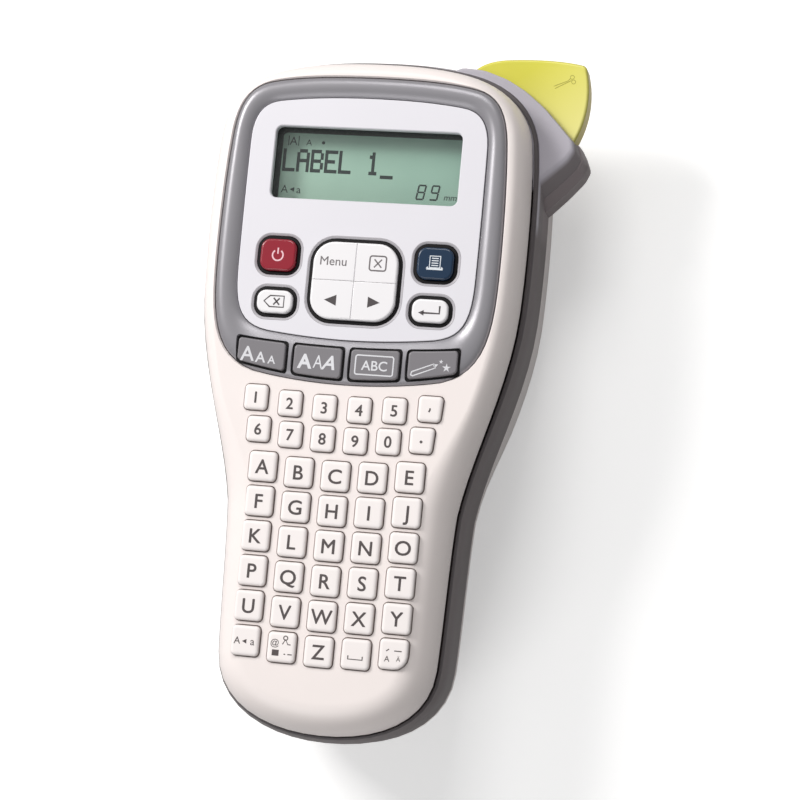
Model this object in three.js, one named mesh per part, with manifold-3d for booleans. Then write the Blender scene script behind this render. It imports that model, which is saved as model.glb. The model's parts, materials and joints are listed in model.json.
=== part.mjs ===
// Handheld label maker: casing, keys, display, cutter, print mechanism, tape cassette and cells.
// Millimetres. +Z leaves the face, +Y points to the tape exit, +X to the cutter lever.
// The origin is the centre of the flat part of the back.
import * as THREE from 'three';
import { mergeVertices } from 'three/addons/utils/BufferGeometryUtils.js';
import Module from 'manifold-3d';

const wasm = await Module();
wasm.setup();

// ---- driving sizes -------------------------------------------------------------------------
const headTop = 52.3;        // tape end of the white shell, y
const gripEnd = -146.5;      // grip end of the white shell, y
const headHalf = 47.8;       // half width of the head
const gripMargin = 7.11;     // from the outer letter keys to the side of the grip
const headBottom = -20;      // y where the head starts to narrow
const waistY = -80;          // y where the grip starts
const wall = 2.0;            // casing wall
const faceZ = 57;            // plane of the panel and the keyboard
const seamZ = 45;            // lower rim of the white shell
const frameTopZ = 44.2;      // top of the gray frame, leaving a shadow groove under the shell
const coverZ = 28;           // joint between gray frame and back cover
const gripBackZ = 19;        // back of the grip, raised above the back of the head
const gripGrow = 2.4;        // gray frame beyond the white shell at the grip
const headGrow = 3.0;        // and at the head

const keyRise = 1.2;         // key tops above the face
const keyTravel = 1.0;
const keyGap = 0.35;         // around a key in its hole
const letterPitchX = 10.92;
const letterPitchY = 10.09;
const letterRows = 6;
const letterCols = 5;
const letterSize = [8.5, 8.8];
const keyCorner = 1.3;
const letterTopY = -72;      // middle of the first letter row
const digitPitch = [10.35, 9.7];
const digitY = [-52.5, -61.5];
const digitSize = [7.1, 7.6];
const rowSmile = 0.0027;     // rows curve upward by this times x squared
const lettersHalf = (letterCols - 1) / 2 * letterPitchX + letterSize[0] / 2;
const gripHalf = lettersHalf + gripMargin;

const deckZ = 33;            // plate between the cells and the board
const deckThick = 1.6;
const boardZ = 45.2;
const boardThick = 1.6;
const plateZ = 24;           // mechanism plate
const plateThick = 1.2;

const cellRadius = 5.1;
const cellLength = 44.5;
const cellPitch = 10.8;
const bayEnd = -131;         // grip end of the cell bay

const pivot = [30, 47];      // cutter lever
const leverReach = 31.4;
const leverZ = [32.4, 40.4];
const wingZ = [28, 32, 40.8, 42.8];

const gearModule = 0.6;
const gearZ = 27;
const gearThick = 3.5;
const platenAt = [21.7, 27];
const platenRadius = 5.4;
const tapeX = 16.05;         // plane of the tape on its way out
const bladeFace = 44.8;      // y where the blade cuts it
const tapeWidth = 12;
const tapeZ = 6;

const windowSize = [56.2, 21.7];
const windowY = 19.7;

const part = new THREE.Group();
part.name = 'label_maker';

// ---- solids --------------------------------------------------------------------------------
const flat = (points) => points.map((p) => new THREE.Vector2(p[0] ?? p.x, p[1] ?? p.y));

// Closed shell through loops of equal length, the first lowest; 'ladder' caps join mirrored points.
function loft(loops, ladder = false) {
  const n = loops[0].length;
  const position = loops.flat().flatMap((p) => [p.x, p.y, p.z]);
  const index = [];
  for (let k = 0; k + 1 < loops.length; k++) {
    for (let i = 0; i < n; i++) {
      const j = (i + 1) % n;
      const [a, b, c, d] = [k * n + i, k * n + j, (k + 1) * n + j, (k + 1) * n + i];
      index.push(a, b, c, a, c, d);
    }
  }
  const top = (loops.length - 1) * n;
  if (ladder) {
    for (let i = 0; i < n / 2; i++) {
      const j = n - i;
      const [a, b, c, d] = [i, i + 1, j - 1, j % n];
      if (i > 0) index.push(a, d, b, top + a, top + b, top + d);
      if (i + 1 < n / 2) index.push(b, d, c, top + b, top + c, top + d);
    }
  } else {
    const cap = THREE.ShapeUtils.triangulateShape(flat(loops[0]), []);
    for (const [a, b, c] of cap) index.push(a, c, b, top + a, top + b, top + c);
  }
  return solid(position, index);
}

function solid(position, index) {
  const geometry = new THREE.BufferGeometry();
  geometry.setAttribute('position', new THREE.Float32BufferAttribute(position, 3));
  geometry.setIndex(index);
  return toManifold(geometry);
}

function toManifold(geometry) {
  const bare = new THREE.BufferGeometry();
  bare.setAttribute('position', geometry.getAttribute('position'));
  if (geometry.index) bare.setIndex(geometry.index);
  const merged = mergeVertices(bare, 1e-4);
  const mesh = new wasm.Mesh({
    numProp: 3,
    vertProperties: new Float32Array(merged.getAttribute('position').array),
    triVerts: new Uint32Array(merged.index.array),
  });
  mesh.merge();
  return new wasm.Manifold(mesh);
}

const at = (points, z) => points.map((p) => new THREE.Vector3(p[0] ?? p.x, p[1] ?? p.y, z));

function box(x0, x1, y0, y1, z0, z1) {
  const geometry = new THREE.BoxGeometry(x1 - x0, y1 - y0, z1 - z0);
  geometry.translate((x0 + x1) / 2, (y0 + y1) / 2, (z0 + z1) / 2);
  return toManifold(geometry);
}

function rod([x, y], radius, z0, z1, sides = 24) {
  const geometry = new THREE.CylinderGeometry(radius, radius, z1 - z0, sides);
  geometry.rotateX(Math.PI / 2);
  geometry.translate(x, y, (z0 + z1) / 2);
  return toManifold(geometry);
}

const prism = (points, z0, z1) => loft([at(points, z0), at(points, z1)]);

function roundRect(w, h, r, steps = 2) {
  const points = [];
  const corners = [[1, 1], [-1, 1], [-1, -1], [1, -1]];
  corners.forEach(([sx, sy], quarter) => {
    for (let i = 0; i <= steps; i++) {
      const angle = (quarter + i / steps) * Math.PI / 2;
      const x = sx * (w / 2 - r) + r * Math.cos(angle);
      points.push([x, sy * (h / 2 - r) + r * Math.sin(angle)]);
    }
  });
  return points;
}

const moved = (points, [x, y]) => points.map((p) => [p[0] + x, p[1] + y]);

function join(solids) {
  return solids.reduce((sum, next) => sum.add(next));
}

function cut(body, tools) {
  return tools.reduce((rest, tool) => rest.subtract(tool), body);
}

function add(name, body, color, roughness = 0.5, metalness = 0, opacity = 1) {
  const mesh = body.getMesh();
  const geometry = new THREE.BufferGeometry();
  const position = new Float32Array(mesh.vertProperties);
  geometry.setAttribute('position', new THREE.Float32BufferAttribute(position, 3));
  geometry.setIndex(Array.from(mesh.triVerts));
  geometry.computeVertexNormals();
  const material = new THREE.MeshStandardMaterial({ color, roughness, metalness });
  material.opacity = opacity;
  material.transparent = opacity < 1;
  material.name = `${name}_material`;
  const made = new THREE.Mesh(geometry, material);
  made.name = name;
  part.add(made);
}

// ---- outlines ------------------------------------------------------------------------------
// A loop mirrored about x = 0 from cubic curves down its right half, top centre to bottom centre.
function mirroredLoop(start, curves, steps) {
  const right = [new THREE.Vector2(...start)];
  let from = right[0];
  for (const [a, b, to] of curves) {
    const end = new THREE.Vector2(...to);
    const curve = new THREE.CubicBezierCurve(
      from, new THREE.Vector2(...a), new THREE.Vector2(...b), end);
    right.push(...curve.getPoints(steps).slice(1));
    from = end;
  }
  const left = right.slice(1, -1).reverse().map((p) => new THREE.Vector2(-p.x, p.y));
  return [...right, ...left].reverse();
}

// Moves every point of a loop outward by 'amount', a number or a function of y.
function grow(loop, amount) {
  const n = loop.length;
  return loop.map((p, i) => {
    const before = loop[(i + n - 1) % n];
    const after = loop[(i + 1) % n];
    const a = p.clone().sub(before).normalize();
    const b = after.clone().sub(p).normalize();
    const along = a.add(b).normalize();
    const d = typeof amount === 'function' ? amount(p.y) : amount;
    return new THREE.Vector2(p.x + along.y * d, p.y - along.x * d);
  });
}

const neck = gripHalf + 1.1;
const shellLoop = mirroredLoop([0, headTop], [
  [[12, headTop], [22, headTop - 0.8], [30, headTop - 3.3]],
  [[headHalf - 8.8, headTop - 6.3], [headHalf - 2.8, headTop - 12.3], [headHalf - 1.2, headTop - 21]],
  [[headHalf + 0.4, headTop - 32], [headHalf + 0.5, headBottom + 15], [headHalf - 0.4, headBottom]],
  [[headHalf - 1.8, headBottom - 22], [neck + 2.7, waistY + 18], [neck, waistY]],
  [[neck - 1, waistY - 12], [gripHalf, waistY - 32], [gripHalf - 0.8, gripEnd + 21.5]],
  [[gripHalf - 1.8, gripEnd + 6.5], [gripHalf / 2, gripEnd], [0, gripEnd]],
], 4);

// The shell's rounded edge is wide at the grip and narrow beside the ring.
const between = (grip, head) => (y) =>
  grip + (head - grip) * THREE.MathUtils.smoothstep(y, waistY, headBottom - 28);
const blend = (y) => THREE.MathUtils.smoothstep(y, waistY + 10, headBottom);
const frameGrow = (y) => gripGrow + (headGrow - gripGrow) * blend(y);

const ringLoop = mirroredLoop([0, 45.9], [
  [[14, 45.9], [24, 45.2], [31, 43.6]],
  [[38, 42], [40.6, 36], [41.2, 26]],
  [[42.2, 14], [42.4, -6], [42, -16]],
  [[41.4, -31], [38.5, -39.5], [28, -42.6]],
  [[20, -44.3], [9, -45.2], [0, -45.2]],
], 4);

const panelLoop = mirroredLoop([0, 39.9], [
  [[12, 39.9], [21, 39.2], [27.5, 38.2]],
  [[33.2, 37.3], [35.8, 33.5], [35.8, 25]],
  [[35.9, 10], [35.9, -2], [35.7, -14]],
  [[35.4, -25], [33, -29.6], [25, -30.9]],
  [[17, -31.9], [8, -32.5], [0, -32.5]],
], 4);

const stack = (loop, levels) => loft(levels.map(([z, d]) => at(grow(loop, d), z)), true);
const grown = (d) => (y) => frameGrow(y) + d;

// ---- keys ----------------------------------------------------------------------------------
const rowY = (y, x) => y + rowSmile * x * x;
const characterKeys = [];
digitY.forEach((y, row) => {
  for (let i = 0; i < 6; i++) {
    const x = (i - 2.5) * digitPitch[row];
    characterKeys.push({ x, y: rowY(y, x), size: digitSize });
  }
});
for (let row = 0; row < letterRows; row++) {
  for (let i = 0; i < letterCols; i++) {
    const x = (i - (letterCols - 1) / 2) * letterPitchX;
    const y = rowY(letterTopY - row * letterPitchY, x);
    characterKeys.push({ x, y, size: letterSize });
  }
}

const panelKeys = [
  { name: 'power_key', x: -23.5, y: -8.4, w: 10.7, h: 9.4, r: 2.8, color: 0xa02840 },
  { name: 'print_key', x: 23.5, y: -8.4, w: 10.7, h: 9.4, r: 2.8, color: 0x143255 },
  { name: 'delete_key', x: -23.2, y: -22.3, w: 10.7, h: 6.8, r: 2.6, color: 0xf2eeee },
  { name: 'enter_key', x: 23.2, y: -22.3, w: 10.7, h: 6.8, r: 2.6, color: 0xf2eeee },
];
const surround = 0.75;
const pad = { y: -15, w: 25.4, h: 22.9, r: 6.2 };
const padKeys = [
  { name: 'menu_key', sx: -1, sy: 1 },
  { name: 'clear_key', sx: 1, sy: 1 },
  { name: 'left_key', sx: -1, sy: -1 },
  { name: 'right_key', sx: 1, sy: -1 },
];
const functionKeys = [
  { name: 'size_key', x0: -33.0, x1: -18.0 },
  { name: 'style_key', x0: -16.0, x1: -1.0 },
  { name: 'frame_key', x0: 1.0, x1: 16.0 },
  { name: 'effect_key', x0: 18.0, x1: 33.0 },
];

// Outline of a function key between two curves that follow the band; 'd' widens it all round.
function bandKey({ x0, x1 }, d) {
  const steps = 4;
  const corner = 1.0;
  const low = (x) => -44.0 + 0.0034 * x * x - d;
  const high = (x) => -34.6 + 0.00145 * x * x + d;
  const points = [];
  for (let i = 0; i <= steps; i++) {
    const x = x0 - d + corner + (x1 - x0 + 2 * d - 2 * corner) * i / steps;
    points.push([x, low(x)]);
  }
  points.push([x1 + d, low(x1) + corner], [x1 + d, high(x1) - corner]);
  for (let i = steps; i >= 0; i--) {
    const x = x0 - d + corner + (x1 - x0 + 2 * d - 2 * corner) * i / steps;
    points.push([x, high(x)]);
  }
  points.push([x0 - d, high(x0) - corner], [x0 - d, low(x0) + corner]);
  return points;
}

const panelBottom = faceZ - wall;
const flangeThick = 1.4;
const switchTop = boardZ + boardThick + 1.5;
const stemBottom = switchTop + keyTravel + 0.1;
const stem = (x, y, top) => box(x - 2, x + 2, y - 2, y + 2, stemBottom, top);
const switchSpots = [];

// ---- white top shell -----------------------------------------------------------------------
const shellPlate = faceZ - wall - 0.2;
const edge = [[seamZ, 0], [50, between(-0.6, -0.3)], [53.4, between(-2.6, -1.4)],
  [55.8, between(-5.6, -3.2)], [faceZ, between(-9.6, -5.2)]];
const shellInside = [[50, between(-3.3, -2.9)], [53, between(-5.6, -3)],
  [shellPlate, between(-9.5, -3.1)]];
const bossSide = headHalf - 5.2;
const gripBossY = gripEnd + 12.5;
const bosses = [[bossSide, 8], [-bossSide, 8], [17, gripBossY], [-17, gripBossY]];
const bossBottom = deckZ + deckThick;
const bossTop = [52.5, 52.5, shellPlate - 0.2, shellPlate - 0.2];

let shell = stack(shellLoop, [[frameTopZ, -0.9], [seamZ, -0.9], ...edge]);
shell = cut(shell, [
  stack(shellLoop, [[frameTopZ - 1, -2.9], ...shellInside]),
  stack(ringLoop, [[shellPlate - 2, 0.25], [faceZ + 2, 0.25]]),
  ...characterKeys.map(({ x, y, size: [w, h] }) => prism(
    moved(roundRect(w + 2 * keyGap, h + 2 * keyGap, keyCorner + keyGap, 1), [x, y]),
    shellPlate - 2, faceZ + 1)),
]);
shell = join([shell, ...bosses.map((p, i) => rod(p, 3, bossBottom, bossTop[i], 12))]);
shell = cut(shell, bosses.map((p) => rod(p, 1.5, bossBottom - 1, 46, 12)));
add('top_shell', shell, 0xf6f1ef, 0.42);

// ---- raised ring round the controls --------------------------------------------------------
const ringFlange = shellPlate - 1.5;
const ledge = 1.5;
let ring = stack(ringLoop, [
  [ringFlange, 0.8], [shellPlate, 0.8], [shellPlate, 0], [56.6, 0], [57.5, -0.9], [57.9, -2.2],
]);
ring = cut(ring, [
  stack(panelLoop, [[ringFlange - 1, -ledge], [panelBottom, -ledge], [panelBottom, 0], [faceZ, 0],
    [57.5, 0.7], [58.4, 3.4]]),
  ...functionKeys.map((key) => prism(bandKey(key, 0.45), ringFlange - 1, 59)),
]);
add('head_ring', ring, 0x949298, 0.38);

for (const key of functionKeys) {
  const [x, y] = [(key.x0 + key.x1) / 2, -39.3];
  const cap = loft([
    at(bandKey(key, 0), ringFlange - 0.4), at(bandKey(key, 0), 57.9), at(bandKey(key, -0.5), 58.4),
  ]);
  const flange = prism(bandKey(key, 0.8), ringFlange - flangeThick, ringFlange);
  const foot = stem(x, y, ringFlange - flangeThick + 0.2);
  add(key.name, join([cap, flange, foot]), 0x8c8a8e, 0.45);
  switchSpots.push([x, y]);
}

// ---- display panel and its keys ------------------------------------------------------------
const panelHoles = panelKeys.map(({ x, y, w, h, r }) => prism(
  moved(roundRect(w + 2 * surround, h + 2 * surround, r + surround, 4), [x, y]),
  panelBottom - 1, faceZ + 1));
const padShape = (d) => moved(roundRect(pad.w + 2 * d, pad.h + 2 * d, pad.r + d, 5), [0, pad.y]);
const windowShape = moved(roundRect(windowSize[0], windowSize[1], 2, 3), [0, windowY]);
const panel = cut(stack(panelLoop, [[panelBottom, -0.25], [faceZ, -0.25]]), [
  ...panelHoles,
  prism(padShape(0.9), panelBottom - 1, faceZ + 1),
  prism(windowShape, panelBottom - 1, faceZ + 1),
]);
add('display_panel', panel, 0xe6e4e9, 0.4);

const capTop = faceZ + keyRise;
for (const { name, x, y, w, h, r, color } of panelKeys) {
  const outline = (d) => moved(roundRect(w + 2 * d, h + 2 * d, r + d, 4), [x, y]);
  const cap = loft([
    at(outline(0), panelBottom - 0.4), at(outline(0), capTop - 0.5), at(outline(-0.6), capTop),
  ]);
  const flange = prism(outline(surround + 0.7), panelBottom - flangeThick, panelBottom);
  const foot = stem(x, y, panelBottom - flangeThick + 0.2);
  add(name, join([cap, flange, foot]), color, 0.35);
  switchSpots.push([x, y]);
}

for (const { name, sx, sy } of padKeys) {
  const cap = loft([
    at(padShape(0), panelBottom - 0.4), at(padShape(0), capTop - 0.5), at(padShape(-0.6), capTop),
  ]);
  const flange = prism(padShape(1.6), panelBottom - flangeThick, panelBottom);
  const gap = 0.15;
  const [xa, xb] = sx > 0 ? [gap, 20] : [-20, -gap];
  const [ya, yb] = sy > 0 ? [pad.y + gap, pad.y + 20] : [pad.y - 20, pad.y - gap];
  const quarter = join([cap, flange]).intersect(box(xa, xb, ya, yb, 40, 60));
  const spot = [sx * pad.w / 4, pad.y + sy * pad.h / 4];
  const foot = stem(...spot, panelBottom - flangeThick + 0.2);
  add(name, join([quarter, foot]), 0xf4f1f2, 0.4);
  switchSpots.push(spot);
}

// ---- character keypad: one moulded mat with every key top ----------------------------------
const matZ = boardZ + boardThick;
const matThick = 1.5;
const matHead = moved(roundRect(62, 22, 3), [0, -58.5]);
const lastRow = letterTopY - (letterRows - 1) * letterPitchY;
const matTop = -60;
const matGripSize = matTop - lastRow + 7.5;
const matGrip = moved(roundRect(2 * lettersHalf + 2.6, matGripSize, 4),
  [0, matTop - matGripSize / 2]);
let mat = join([prism(matHead, matZ, matZ + matThick), prism(matGrip, matZ, matZ + matThick)]);
mat = join([mat, ...characterKeys.map(({ x, y, size: [w, h] }) => {
  const outline = (d) => moved(roundRect(w + 2 * d, h + 2 * d, keyCorner, 1), [x, y]);
  return loft([at(outline(0), matZ + 0.5), at(outline(-0.2), capTop)]);
})]);
add('character_keypad', mat, 0xf7f3f1, 0.6);

// ---- display -------------------------------------------------------------------------------
const [winW, winH] = windowSize;
const rectAt = (w, h, y) => moved(roundRect(w, h, 1.2), [0, y]);
const glassZ = panelBottom - 1;
const moduleTop = boardZ + boardThick + 2.4;
add('display_window', prism(rectAt(winW + 3, winH + 3, windowY), glassZ, panelBottom),
  0xdfe8e6, 0.1, 0, 0.25);
const shroud = cut(prism(rectAt(winW + 4.8, winH + 4.4, windowY), moduleTop, glassZ), [
  prism(rectAt(winW + 0.6, winH + 0.6, windowY), moduleTop - 1, glassZ + 1),
]);
add('display_shroud', shroud, 0x1c1c1e, 0.6);
add('display_module', prism(rectAt(winW + 6, winH + 6, windowY), boardZ + boardThick, moduleTop),
  0xa0b9aa, 0.3);

// ---- main board with a switch under each hard key ------------------------------------------
const boardEnd = gripBossY + 4;
const boardSheet = stack(shellLoop, [[boardZ, -5.2], [boardZ + boardThick, -5.2]])
  .intersect(box(-headHalf, headHalf, boardEnd, headTop, boardZ - 1, boardZ + 3));
const board = cut(join([boardSheet, ...switchSpots.map(([x, y]) =>
  box(x - 2.6, x + 2.6, y - 2.6, y + 2.6, boardZ + 0.5, switchTop))]),
bosses.slice(0, 2).map((p) => rod(p, 3.6, boardZ - 1, boardZ + 4, 16)));
add('main_board', board, 0x2c6b3f, 0.6);

// ---- gray middle frame with the cutter wing ------------------------------------------------
// The wing's foot and its smaller top, both clockwise from inside the head's top wall.
const wingFoot = [[14, 47], [22.4, 54.4], [30, 53.8], [37.3, 51.2], [43.5, 47.8], [49.4, 43],
  [55.2, 37.2], [60.6, 32], [62.6, 27.2], [61.2, 23.8], [56.8, 18.6], [51.6, 13.2], [48.4, 11],
  [46, 24], [33, 38.5], [26, 43.5]];
const wingTop = [[14, 47], [22.4, 54], [30, 53.4], [37.3, 50.8], [43.1, 47.4], [49, 42.6],
  [54, 37.4], [57.9, 33.1], [58.2, 30.6], [56.4, 27.6], [53.2, 24.8], [49.4, 21.4], [47.4, 18],
  [45, 24], [33, 38.5], [26, 43.5]];
const wingWaistZ = 36.5;
const wing = loft([at(wingFoot.reverse(), wingZ[0]), at(wingFoot, wingWaistZ),
  at(wingTop.reverse(), wingZ[3])]);

const bayReach = leverReach + 0.9;
const bayShape = [[22.7, 62], [22.7, 30], [38, 22]];
for (let i = 0; i <= 16; i++) {
  const angle = THREE.MathUtils.degToRad(-60 + 100 * i / 16);
  bayShape.push([pivot[0] + bayReach * Math.cos(angle), pivot[1] + bayReach * Math.sin(angle)]);
}
bayShape.push([40, 74]);

const frameLevels = [[coverZ, grown(0)], [36, grown(0)], [40.5, grown(-0.4)], [43.2, grown(-1.3)],
  [frameTopZ, grown(-2.3)]];
const lowInside = [[coverZ - 1, grown(-wall - 0.4)], [deckZ, grown(-wall - 0.4)]];
const highInside = [[deckZ + deckThick, grown(-wall - 0.4)], [40.8, grown(-wall - 1)],
  [41.6, -2.9], [frameTopZ + 1, -2.9]];
const boardPosts = [[27, -60], [-27, -60], [24, -124], [-24, -124], [35, -22], [-35, -22], [-34, 34],
  [10, 45]];
const platePosts = [[-36, -9], [-34, 41], [35, -9], [10, 41]];
const pinRadius = 2;
const pinZ = [wingZ[0] + 1.5, wingZ[3] - 0.6];
let frame = stack(shellLoop, frameLevels);
frame = cut(frame, [stack(shellLoop, lowInside), stack(shellLoop, highInside)]);
frame = join([frame, wing]);
frame = cut(frame, [
  prism(bayShape, wingZ[1], wingZ[2]),
  rod(pivot, pinRadius, ...pinZ, 20),
  ...bosses.map((p) => rod(p, 1.5, deckZ - 1, deckZ + 3, 12)),
  ...bosses.map((p) => rod(p, 3.4, deckZ + deckThick, frameTopZ + 1, 12)),
]);
frame = join([
  frame,
  ...boardPosts.map((p) => rod(p, 2, deckZ + 0.5, boardZ, 8)),
  ...platePosts.map((p) => rod(p, 2, plateZ + plateThick, deckZ + 0.5, 8)),
  cut(rod(pivot, 4.5, wingZ[1] - 0.5, leverZ[0], 20),
    [rod(pivot, pinRadius, wingZ[1] - 1, leverZ[0] + 1, 20)]),
]);

// ---- gear train: positions and phases ------------------------------------------------------
const teeth = { platen: 22, idler: 34, pinion: 12, takeup: 24 };
const pitchRadius = (n) => n * gearModule / 2;
const along = ([x, y], angle, d) => [x + d * Math.cos(angle), y + d * Math.sin(angle)];
const toIdler = THREE.MathUtils.degToRad(200.8);
const toPinion = THREE.MathUtils.degToRad(-120);
const toTakeup = THREE.MathUtils.degToRad(150);
const idlerAt = along(platenAt, toIdler, pitchRadius(teeth.platen) + pitchRadius(teeth.idler));
const pinionAt = along(idlerAt, toPinion, pitchRadius(teeth.idler) + pitchRadius(teeth.pinion));
const takeupAt = along(idlerAt, toTakeup, pitchRadius(teeth.idler) + pitchRadius(teeth.takeup));

// Angle of a tooth of the second gear when it meshes with the first along 'direction'.
function meshedTooth(tooth, n, direction, otherN) {
  const lead = (direction - tooth) / (2 * Math.PI / n);
  return direction + Math.PI + (lead + 0.5) * 2 * Math.PI / otherN;
}
const idlerTooth = 0;
const platenTooth = meshedTooth(idlerTooth, teeth.idler, toIdler + Math.PI, teeth.platen);
const pinionTooth = meshedTooth(idlerTooth, teeth.idler, toPinion, teeth.pinion);
const takeupTooth = meshedTooth(idlerTooth, teeth.idler, toTakeup, teeth.takeup);

function gear(center, n, tooth) {
  const points = [];
  const step = 2 * Math.PI / n;
  const root = pitchRadius(n) - 1.2 * gearModule;
  const tip = pitchRadius(n) + 0.8 * gearModule;
  for (let i = 0; i < n; i++) {
    const middle = tooth + i * step;
    points.push(along(center, middle - 0.32 * step, root));
    points.push(along(center, middle - 0.11 * step, tip));
    points.push(along(center, middle + 0.11 * step, tip));
    points.push(along(center, middle + 0.32 * step, root));
  }
  return prism(points, gearZ, gearZ + gearThick);
}

const shaftHole = 1.9;
frame = cut(frame, [rod(pinionAt, 2, deckZ - 1, deckZ + 3, 12)]);
add('mid_frame', frame, 0x9b979c, 0.5);

// ---- mechanism plate -----------------------------------------------------------------------
const plateShape = [[-38, -12], [38, -12], [38, 14], [31, 22], [31, 37.9], [14, 37.9], [14, 46],
  [-32, 46], [-38, 40]];
const plateTop = plateZ + plateThick;
const lidTop = 21;
const plate = cut(join([
  prism(plateShape, plateZ, plateTop),
  rod(idlerAt, 3, plateTop - 0.5, gearZ, 16),
  rod(idlerAt, 1.5, gearZ - 0.5, gearZ + gearThick + 0.6, 12),
  ...[[-34, -6], [-34, 34], [5, -6]].map((p) => rod(p, 2, lidTop, plateZ + 0.5, 12)),
]), [[platenAt, shaftHole], [takeupAt, 2.8]].map(([p, r]) => rod(p, r, plateZ - 1, plateTop + 1, 16)));
add('mechanism_plate', plate, 0xb8bac0, 0.35, 1);

// ---- motor and gears -----------------------------------------------------------------------
const motorBottom = deckZ + deckThick;
const motorTop = boardZ - 1;
const motor = join([
  rod(pinionAt, 8, motorBottom, motorTop, 28),
  rod(pinionAt, 2.6, motorTop - 0.3, boardZ - 0.4, 16),
]);
add('motor', motor, 0xa9abb0, 0.3, 1);
add('motor_pinion', join([gear(pinionAt, teeth.pinion, pinionTooth),
  rod(pinionAt, 1, gearZ + 1, motorBottom, 12)]), 0xc9a24a, 0.35, 1);
add('idler_gear', cut(gear(idlerAt, teeth.idler, idlerTooth),
  [rod(idlerAt, 1.8, gearZ - 1, gearZ + 5, 16)]), 0xeeeae2, 0.5);

// ---- platen roller, its gear and its bracket -----------------------------------------------
const rollerZ = [4.2, 20.5];
const collarZ = plateTop + 0.4;
const platen = join([
  rod(platenAt, platenRadius, rollerZ[0], rollerZ[1], 32),
  rod(platenAt, 1.5, rollerZ[1] - 0.5, gearZ + gearThick + 0.8, 16),
  rod(platenAt, 2.6, collarZ, gearZ, 16),
]);
add('platen_roller', platen, 0x2a2a2c, 0.8);
add('platen_gear', cut(gear(platenAt, teeth.platen, platenTooth),
  [rod(platenAt, 1.8, gearZ - 1, gearZ + 5, 16)]), 0xeeeae2, 0.5);
const bracketX = [platenAt[0] - 4, platenAt[0] + platenRadius + 2.4];
const bracketY = [platenAt[1] - 6.5, platenAt[1] + 6.5];
const bracket = cut(box(...bracketX, ...bracketY, 2.6, plateZ), [
  box(bracketX[0] - 1, bracketX[1] - 1.6, bracketY[0] - 1, bracketY[1] + 1, rollerZ[0], 21.6),
  rod(platenAt, shaftHole, 20, plateZ + 1, 16),
]);
add('roller_bracket', bracket, 0xb0b3b8, 0.35, 1);

// ---- print head ----------------------------------------------------------------------------
const headFace = tapeX - 0.35;
add('head_heatsink', box(headFace - 6, headFace - 3.1, platenAt[1] - 6, platenAt[1] + 6, 3.4, plateZ),
  0xc4c7cc, 0.35, 1);
add('print_head', box(headFace - 3.1, headFace, platenAt[1] - 3, platenAt[1] + 3, 5, 19),
  0xe8e4dc, 0.4);

// ---- take-up drive -------------------------------------------------------------------------
const caseFloor = wall + 2.7;
const spindle = join([
  gear(takeupAt, teeth.takeup, takeupTooth),
  rod(takeupAt, 3.6, plateTop, gearZ + 0.5, 16),
  rod(takeupAt, 2.2, caseFloor + 1.5, plateTop + 0.5, 6),
]);
add('takeup_spindle', spindle, 0xeeeae2, 0.5);

// ---- tape cassette -------------------------------------------------------------------------
const caseX = [-37, 15.2];
const caseY = [-10, 37];
const caseBottom = wall + 1.4;
const caseTop = 19.4;
const rollAt = [-21.5, 9];
const rollRadius = 13.5;
const supplyAt = [2, 4];
const notch = box(headFace - 6.6, caseX[1] + 1, platenAt[1] - 6.6, platenAt[1] + 6.6, 0, 30);
const notchWall = box(headFace - 8, caseX[1], platenAt[1] - 8, platenAt[1] + 8, caseBottom, caseTop);
const caseBox = cut(box(...caseX, ...caseY, caseBottom, caseTop),
  [box(caseX[0] + 1.4, caseX[1] - 1.4, caseY[0] + 1.4, caseY[1] - 1.4, caseFloor, caseTop + 1)]);
const cassette = cut(join([caseBox, notchWall]), [
  notch, box(caseX[1] - 2, caseX[1] + 1, 3, 13, tapeZ - 0.6, caseTop + 1)]);
add('cassette_case', cassette, 0xe9e7e2, 0.45);
const lid = cut(box(...caseX, ...caseY, caseTop, lidTop), [notch, rod(takeupAt, 3.2, 18, 22, 16)]);
add('cassette_lid', lid, 0xd9d7d2, 0.45);
const spoolTop = tapeZ + tapeWidth;
add('tape_roll', cut(rod(rollAt, rollRadius, caseFloor, spoolTop, 40), [rod(rollAt, 5, 0, 30, 24)]),
  0xf4f4f2, 0.6);
add('ribbon_supply_spool', cut(rod(supplyAt, 5, caseFloor, spoolTop, 24), [rod(supplyAt, 2, 0, 30, 16)]),
  0x1d1d22, 0.4);
add('ribbon_takeup_spool', cut(rod(takeupAt, 5.4, caseFloor, spoolTop, 24), [rod(takeupAt, 2.7, 0, 30, 16)]),
  0x2b2b30, 0.4);

// The tape leaves the roll along its lower side, turns up beside the cassette and ends at the
// blade, where the last label was cut off.
const tapeEnd = bladeFace - 0.1;
const tapePath = new THREE.Path();
tapePath.moveTo(rollAt[0], rollAt[1] - rollRadius - 0.4);
tapePath.lineTo(8, rollAt[1] - rollRadius - 0.4);
tapePath.bezierCurveTo(12, rollAt[1] - rollRadius - 0.4, 12.4, 0, 12.8, 3);
tapePath.bezierCurveTo(13.4, 8, tapeX, 8, tapeX, 14);
tapePath.lineTo(tapeX, tapeEnd);
const tapeLine = tapePath.getPoints(6);
const tapeSide = (d) => tapeLine.map((p, i) => {
  const a = tapeLine[Math.max(i - 1, 0)];
  const b = tapeLine[Math.min(i + 1, tapeLine.length - 1)];
  const run = b.clone().sub(a).normalize();
  return [p.x + run.y * d, p.y - run.x * d];
});
add('label_tape', prism([...tapeSide(0.15), ...tapeSide(-0.15).reverse()], caseFloor + 1, spoolTop),
  0xfafaf8, 0.5);

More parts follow.
